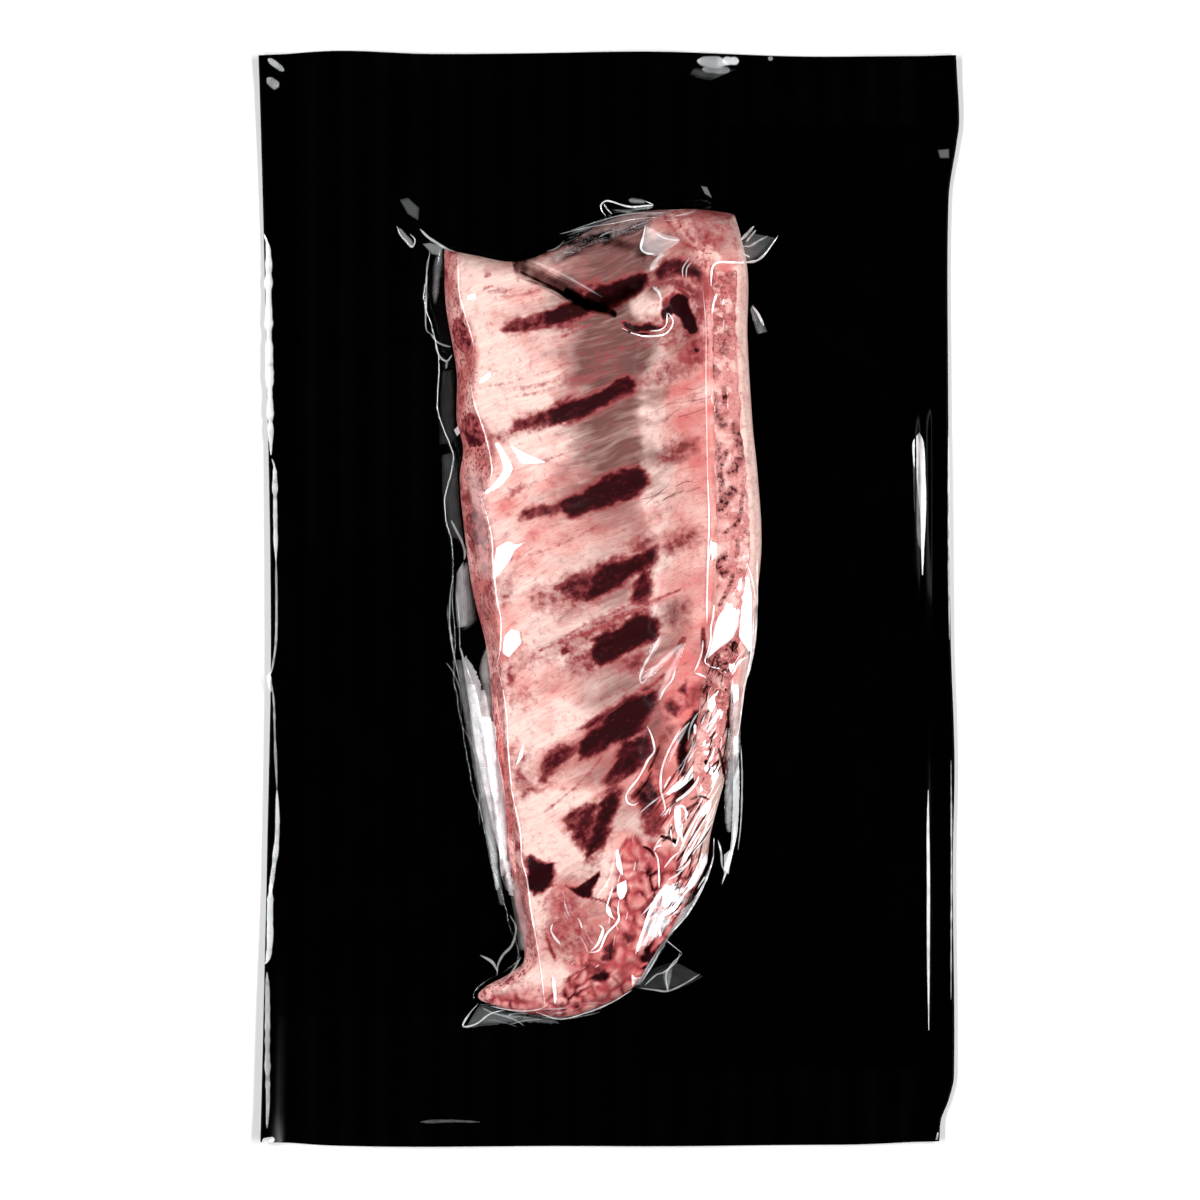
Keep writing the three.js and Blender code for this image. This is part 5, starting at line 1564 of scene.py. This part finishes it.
class Wrinkles:
    """Folds that stand on the clear web: strips, bands and facets, all in one piece, whose haze is painted
    highlight in the clear piece and painted shade in the shaded piece.
    """

    STRIP_SHINE, BAND_SHINE, FLAT_FACET_SHINE, BRIGHT_FACET_SHINE = 0.6, 0.3, 0.2, 0.4  # for a full haze
    MIDDLE_X = 8  # left of it the left softbox is the one that shows

    def __init__(self, film):
        self.film = film
        self.points, self.quads, self.haze, self.shine = [], [], [], []
        self.count = 0

    def flash_slopes(self, x, y, z):
        """Slopes along X and Y of film that mirrors a softbox into the camera."""
        here = np.stack([x, y, z], -1)
        side = np.where(x > self.MIDDLE_X, 1.0, -1.0)[..., None]
        lamp = np.array([SOFTBOX_X, 0, SOFTBOX_Z]) * np.concatenate([side, 1 + 0 * side, 1 + 0 * side], -1)
        lamp = lamp + np.stack([0 * y, 0.6 * y, 0 * y], -1)
        camera = np.array([CAMERA_X, CAMERA_Y, CAMERA_HEIGHT])
        normal = unit(unit(lamp - here) + unit(camera - here))
        return -normal[..., 0] / normal[..., 2], -normal[..., 1] / normal[..., 2]

    def keep(self, grid, haze, shine):
        """Adds a grid of points to the piece."""
        rows, columns = grid.shape[:2]
        self.quads.append(grid_faces(rows, columns, self.count))
        self.points.append(grid.reshape(-1, 3))
        self.haze.append(np.broadcast_to(haze, (rows, columns)).ravel())
        self.shine.append(np.full(rows * columns, shine))
        self.count += rows * columns

    def strip(self, haze, half_width, softness, line):
        """A narrow fold along a line, tilted to catch a softbox where its sides are sharp. Its haze paints a
        highlight on the clear piece and shade on the shaded piece.
        """
        pixels = smooth_line(line, 2.7)
        places = smooth_line(self.film.under_pixels(pixels), 0.5)
        ahead = unit(np.gradient(places, axis=0))
        sideways = np.stack([ahead[:, 1], -ahead[:, 0]], -1)
        share = np.linspace(0, 1, len(places))
        uneven = noise(places[:, 0] / 3, places[:, 1] / 3, 111, 2)
        width = 0.85 * half_width * MM_PER_PX * (1 + 0.45 * uneven)
        width = width * np.sqrt(np.clip(np.minimum(share, 1 - share) * 5, 0.02, 1))
        offsets = np.array([-1.25, -1, -0.6, -0.2, 0.2, 0.6, 1, 1.25])
        x = places[:, :1] + sideways[:, :1] * width[:, None] * offsets
        y = places[:, 1:] + sideways[:, 1:] * width[:, None] * offsets
        film = self.film.at(x, y)
        centre = film.mean(1, keepdims=True)
        slope_x, slope_y = self.flash_slopes(places[:, :1], places[:, 1:], centre)
        tilt = slope_x * (x - places[:, :1]) + slope_y * (y - places[:, 1:])
        z = mix(centre + tilt, film, softness)
        z = z + np.max(film - z, 1, keepdims=True) + 0.08
        z[:, [0, -1]] = film[:, [0, -1]] + 0.02
        outer, inner = 1 - 0.95 * softness, 1 - 0.45 * softness
        profile = np.array([0, outer, inner, 1, 1, inner, outer, 0])
        fade = np.clip(np.minimum(share, 1 - share) * 8 + 1 - softness, 0, 1)[:, None]
        level = np.clip(haze * (1 + 0.35 * noise(places[:, 0] / 2, places[:, 1] / 2, 112)), 0, 1)[:, None]
        self.keep(np.stack([x, y, z], -1), level * profile * fade, self.STRIP_SHINE * haze)

    def band(self, haze, softness, ragged, one_side, other_side):
        """A broad fold that lies on the web between two lines. Its haze paints a highlight on the clear
        piece and shade on the shaded piece.
        """
        count = max(12, int(len(smooth_line(one_side, 1)) * 0.8))
        one, other = evenly(one_side, count), evenly(other_side, count)
        wave = noise(one[:, 0] / 2.5, one[:, 1] / 2.5, 113, 3)[:, None] * ragged
        across = unit(other - one)
        one, other = one + across * wave, other - across * wave[::-1]
        reaches = np.array([-0.06, 0, 0.06, 0.15, 0.3, 0.5, 0.7, 0.85, 0.94, 1, 1.06])
        pixels = one[:, None] + (other - one)[:, None] * reaches[:, None]
        x, y = self.film.under_pixels(pixels.reshape(-1, 2)).T.reshape(2, count, -1)
        z = self.film.at(x, y) + 0.09
        z[:, [0, -1]] -= 0.07
        from_side = np.clip(np.minimum(reaches, 1 - reaches) / 0.5, 0, 1)
        profile = np.where(from_side > 0, np.clip(from_side / max(softness, 0.1), 0, 1), 0)
        profile[[1, -2]] = 1 - softness
        share = np.linspace(0, 1, count)
        fade = np.clip(np.minimum(share, 1 - share) * 10 + 1 - softness, 0, 1)[:, None]
        level = 1 + 0.35 * noise(x / 2, y / 3, 114, 2)
        cover = np.clip(haze * level * profile * fade, 0, 1)
        self.keep(np.stack([x, y, z], -1), cover, self.BAND_SHINE * haze)

    def strewn(self, seed, over_rack, count, spread, longest, haze, line):
        """Short bent strips beside a line, each roughly along it."""
        rng = np.random.default_rng(seed)
        path = evenly(line, 60)
        ahead = unit(np.gradient(path, axis=0))
        for _ in range(count):
            i = rng.integers(0, 60)
            start = path[i] + rng.uniform(-spread, spread) * np.array([-ahead[i][1], ahead[i][0]])
            turn = rng.normal(0, 0.14)
            way = [ahead[i][0] * math.cos(turn) - ahead[i][1] * math.sin(turn),
                   ahead[i][0] * math.sin(turn) + ahead[i][1] * math.cos(turn)]
            length, bend = rng.uniform(0.4, 1) * longest, rng.normal(0, 0.06)
            steps = np.linspace(-0.5, 0.5, 4)[:, None] * length
            bent = steps**2 / length * bend * np.array([-way[1], way[0]])
            ends = self.film.under_pixels((start + steps * way)[[0, -1]])
            if over_rack and np.any(self.film.rack.over(*ends.T) <= 0):
                continue
            self.strip(haze * rng.uniform(0.4, 1.2), rng.uniform(0.35, 0.9), rng.uniform(0.1, 0.8),
                       start + steps * way + 4 * bent)

    def facet(self, haze, softness, flash, outline):
        """A flat part of the film inside an outline, tilted to a softbox if it flashes. Its haze is a
        painted highlight.
        """
        rim = self.film.under_pixels(evenly(np.vstack([outline, outline[:1]]), 40, smooth=False))
        middle = rim[:-1].mean(0)
        reaches = np.array([1.05, 1, 0.86, 0.66, 0.42, 0.2, 0.02])[:, None]
        x = middle[0] + (rim[:, 0] - middle[0]) * reaches
        y = middle[1] + (rim[:, 1] - middle[1]) * reaches
        film = self.film.at(x, y)
        z = film + 0.1
        if flash:
            slope_x, slope_y = self.flash_slopes(middle[:1], middle[1:], film.mean(keepdims=True)[0])
            z = slope_x * (x - middle[0]) + slope_y * (y - middle[1])
            z = z + np.percentile(film - z, 80) + 0.05
            z = np.maximum(z, film + 0.06)
        z[0] = film[0] + 0.03
        profile = np.array([0, 1 - softness, 1 - softness / 2, 1, 1, 1, 1])[:, None]
        shine = self.BRIGHT_FACET_SHINE if flash else self.FLAT_FACET_SHINE
        self.keep(np.stack([x, y, z], -1), haze * profile, shine * haze)

    def piece(self, name, material):
        """All the folds as one mesh."""
        points = np.vstack(self.points)
        points[:, 2] = np.minimum(points[:, 2], SOLIDS_TOP + WRINKLES_ABOVE)
        piece = mesh_object(name, points, [np.vstack(self.quads)], "clear_film", ["sealed_rack"])
        give_attribute(piece, "haze", np.concatenate(self.haze))
        give_attribute(piece, "shine", np.concatenate(self.shine))
        piece.data.materials.append(material)


# ---- Stage ----

SOFTBOX_X, SOFTBOX_Z = 620, 850
SOFTBOX_LENGTH, SOFTBOX_WIDTH = 1.0, 0.17
SOFTBOX_POWER = 9.6
FLOOR_SIZE, FLOOR_DROP = 12, 0.0002  # in metres


def softbox(name, side):
    light = bpy.data.lights.new(name, "AREA")
    light.shape = "RECTANGLE"
    light.size, light.size_y = SOFTBOX_WIDTH, SOFTBOX_LENGTH
    light.energy = SOFTBOX_POWER
    lamp = bpy.data.objects.new(name, light)
    bpy.context.scene.collection.objects.link(lamp)
    lamp.location = (side * SOFTBOX_X * METRES_PER_MM, 0, SOFTBOX_Z * METRES_PER_MM)
    lamp.rotation_euler = (0, side * math.atan2(SOFTBOX_X, SOFTBOX_Z), 0)


def stage():
    bpy.ops.mesh.primitive_plane_add(size=FLOOR_SIZE, location=(0, 0, -FLOOR_DROP))
    floor = bpy.context.object
    floor.name = "studio_floor"
    floor.data.materials.append(floor_material())
    softbox("softbox_left", -1)
    softbox("softbox_right", 1)
    world = bpy.data.worlds.new("dim_room")
    world.use_nodes = True
    world.node_tree.nodes["Background"].inputs["Color"].default_value = (0.9, 0.95, 1, 1)
    world.node_tree.nodes["Background"].inputs["Strength"].default_value = 0.003
    scene = bpy.context.scene
    scene.world = world
    scene.view_settings.view_transform = "Standard"
    camera = bpy.data.cameras.new("camera")
    camera.sensor_width, camera.lens = SENSOR, LENS
    holder = bpy.data.objects.new("camera", camera)
    scene.collection.objects.link(holder)
    holder.location = (CAMERA_X * METRES_PER_MM, CAMERA_Y * METRES_PER_MM, CAMERA_HEIGHT * METRES_PER_MM)
    scene.camera = holder


# ---- The pack ----

WRINKLE_SEED, FOLD_SEED = 200, 300

back_web()
rack = Rack()
rack_meat(rack)
bone = rib_material()
for index in range(len(RIB_LINES)):
    rib_bone(rack, index, bone)
chine_bone(rack)
film = Film(rack)
clear = clear_film_material("clear_film")
front_web(rack, film, clear)
# The film's wrinkles, with painted highlights and painted reflection in their white haze.
wrinkles = Wrinkles(film)
for streak in read_rows(STREAKS):
    wrinkles.strip(*streak)
for band in read_rows(BANDS):
    wrinkles.band(*band)
for facet in read_rows(FACETS):
    wrinkles.facet(*facet)
for number, group in enumerate(read_rows(STREWN)):
    wrinkles.strewn(WRINKLE_SEED + number, number not in STREWN_BESIDE, *group)
wrinkles.piece("film_wrinkles_and_highlights", clear)
# Painted shade: tinted sheets on the film that darken the meat under folds and between pleats.
folds = Wrinkles(film)
for shade in read_rows(SHADES):
    folds.band(*shade)
for gap in read_rows(GAPS):
    folds.strip(*gap)
for number, group in enumerate(read_rows(STREWN_SHADES)):
    folds.strewn(FOLD_SEED + number, True, *group)
folds.piece("painted_shade_folds", shaded_film_material())
# The seal's painted highlight: white haze in the embossed pattern.
seal = Wrinkles(film)
for haze, half_width, line in read_rows(SEAL_HIGHLIGHTS):
    seal.strip(haze, half_width, 0.2, line)
seal.piece("seal_highlights", clear_film_material("embossed_film_highlight", True))
stage()
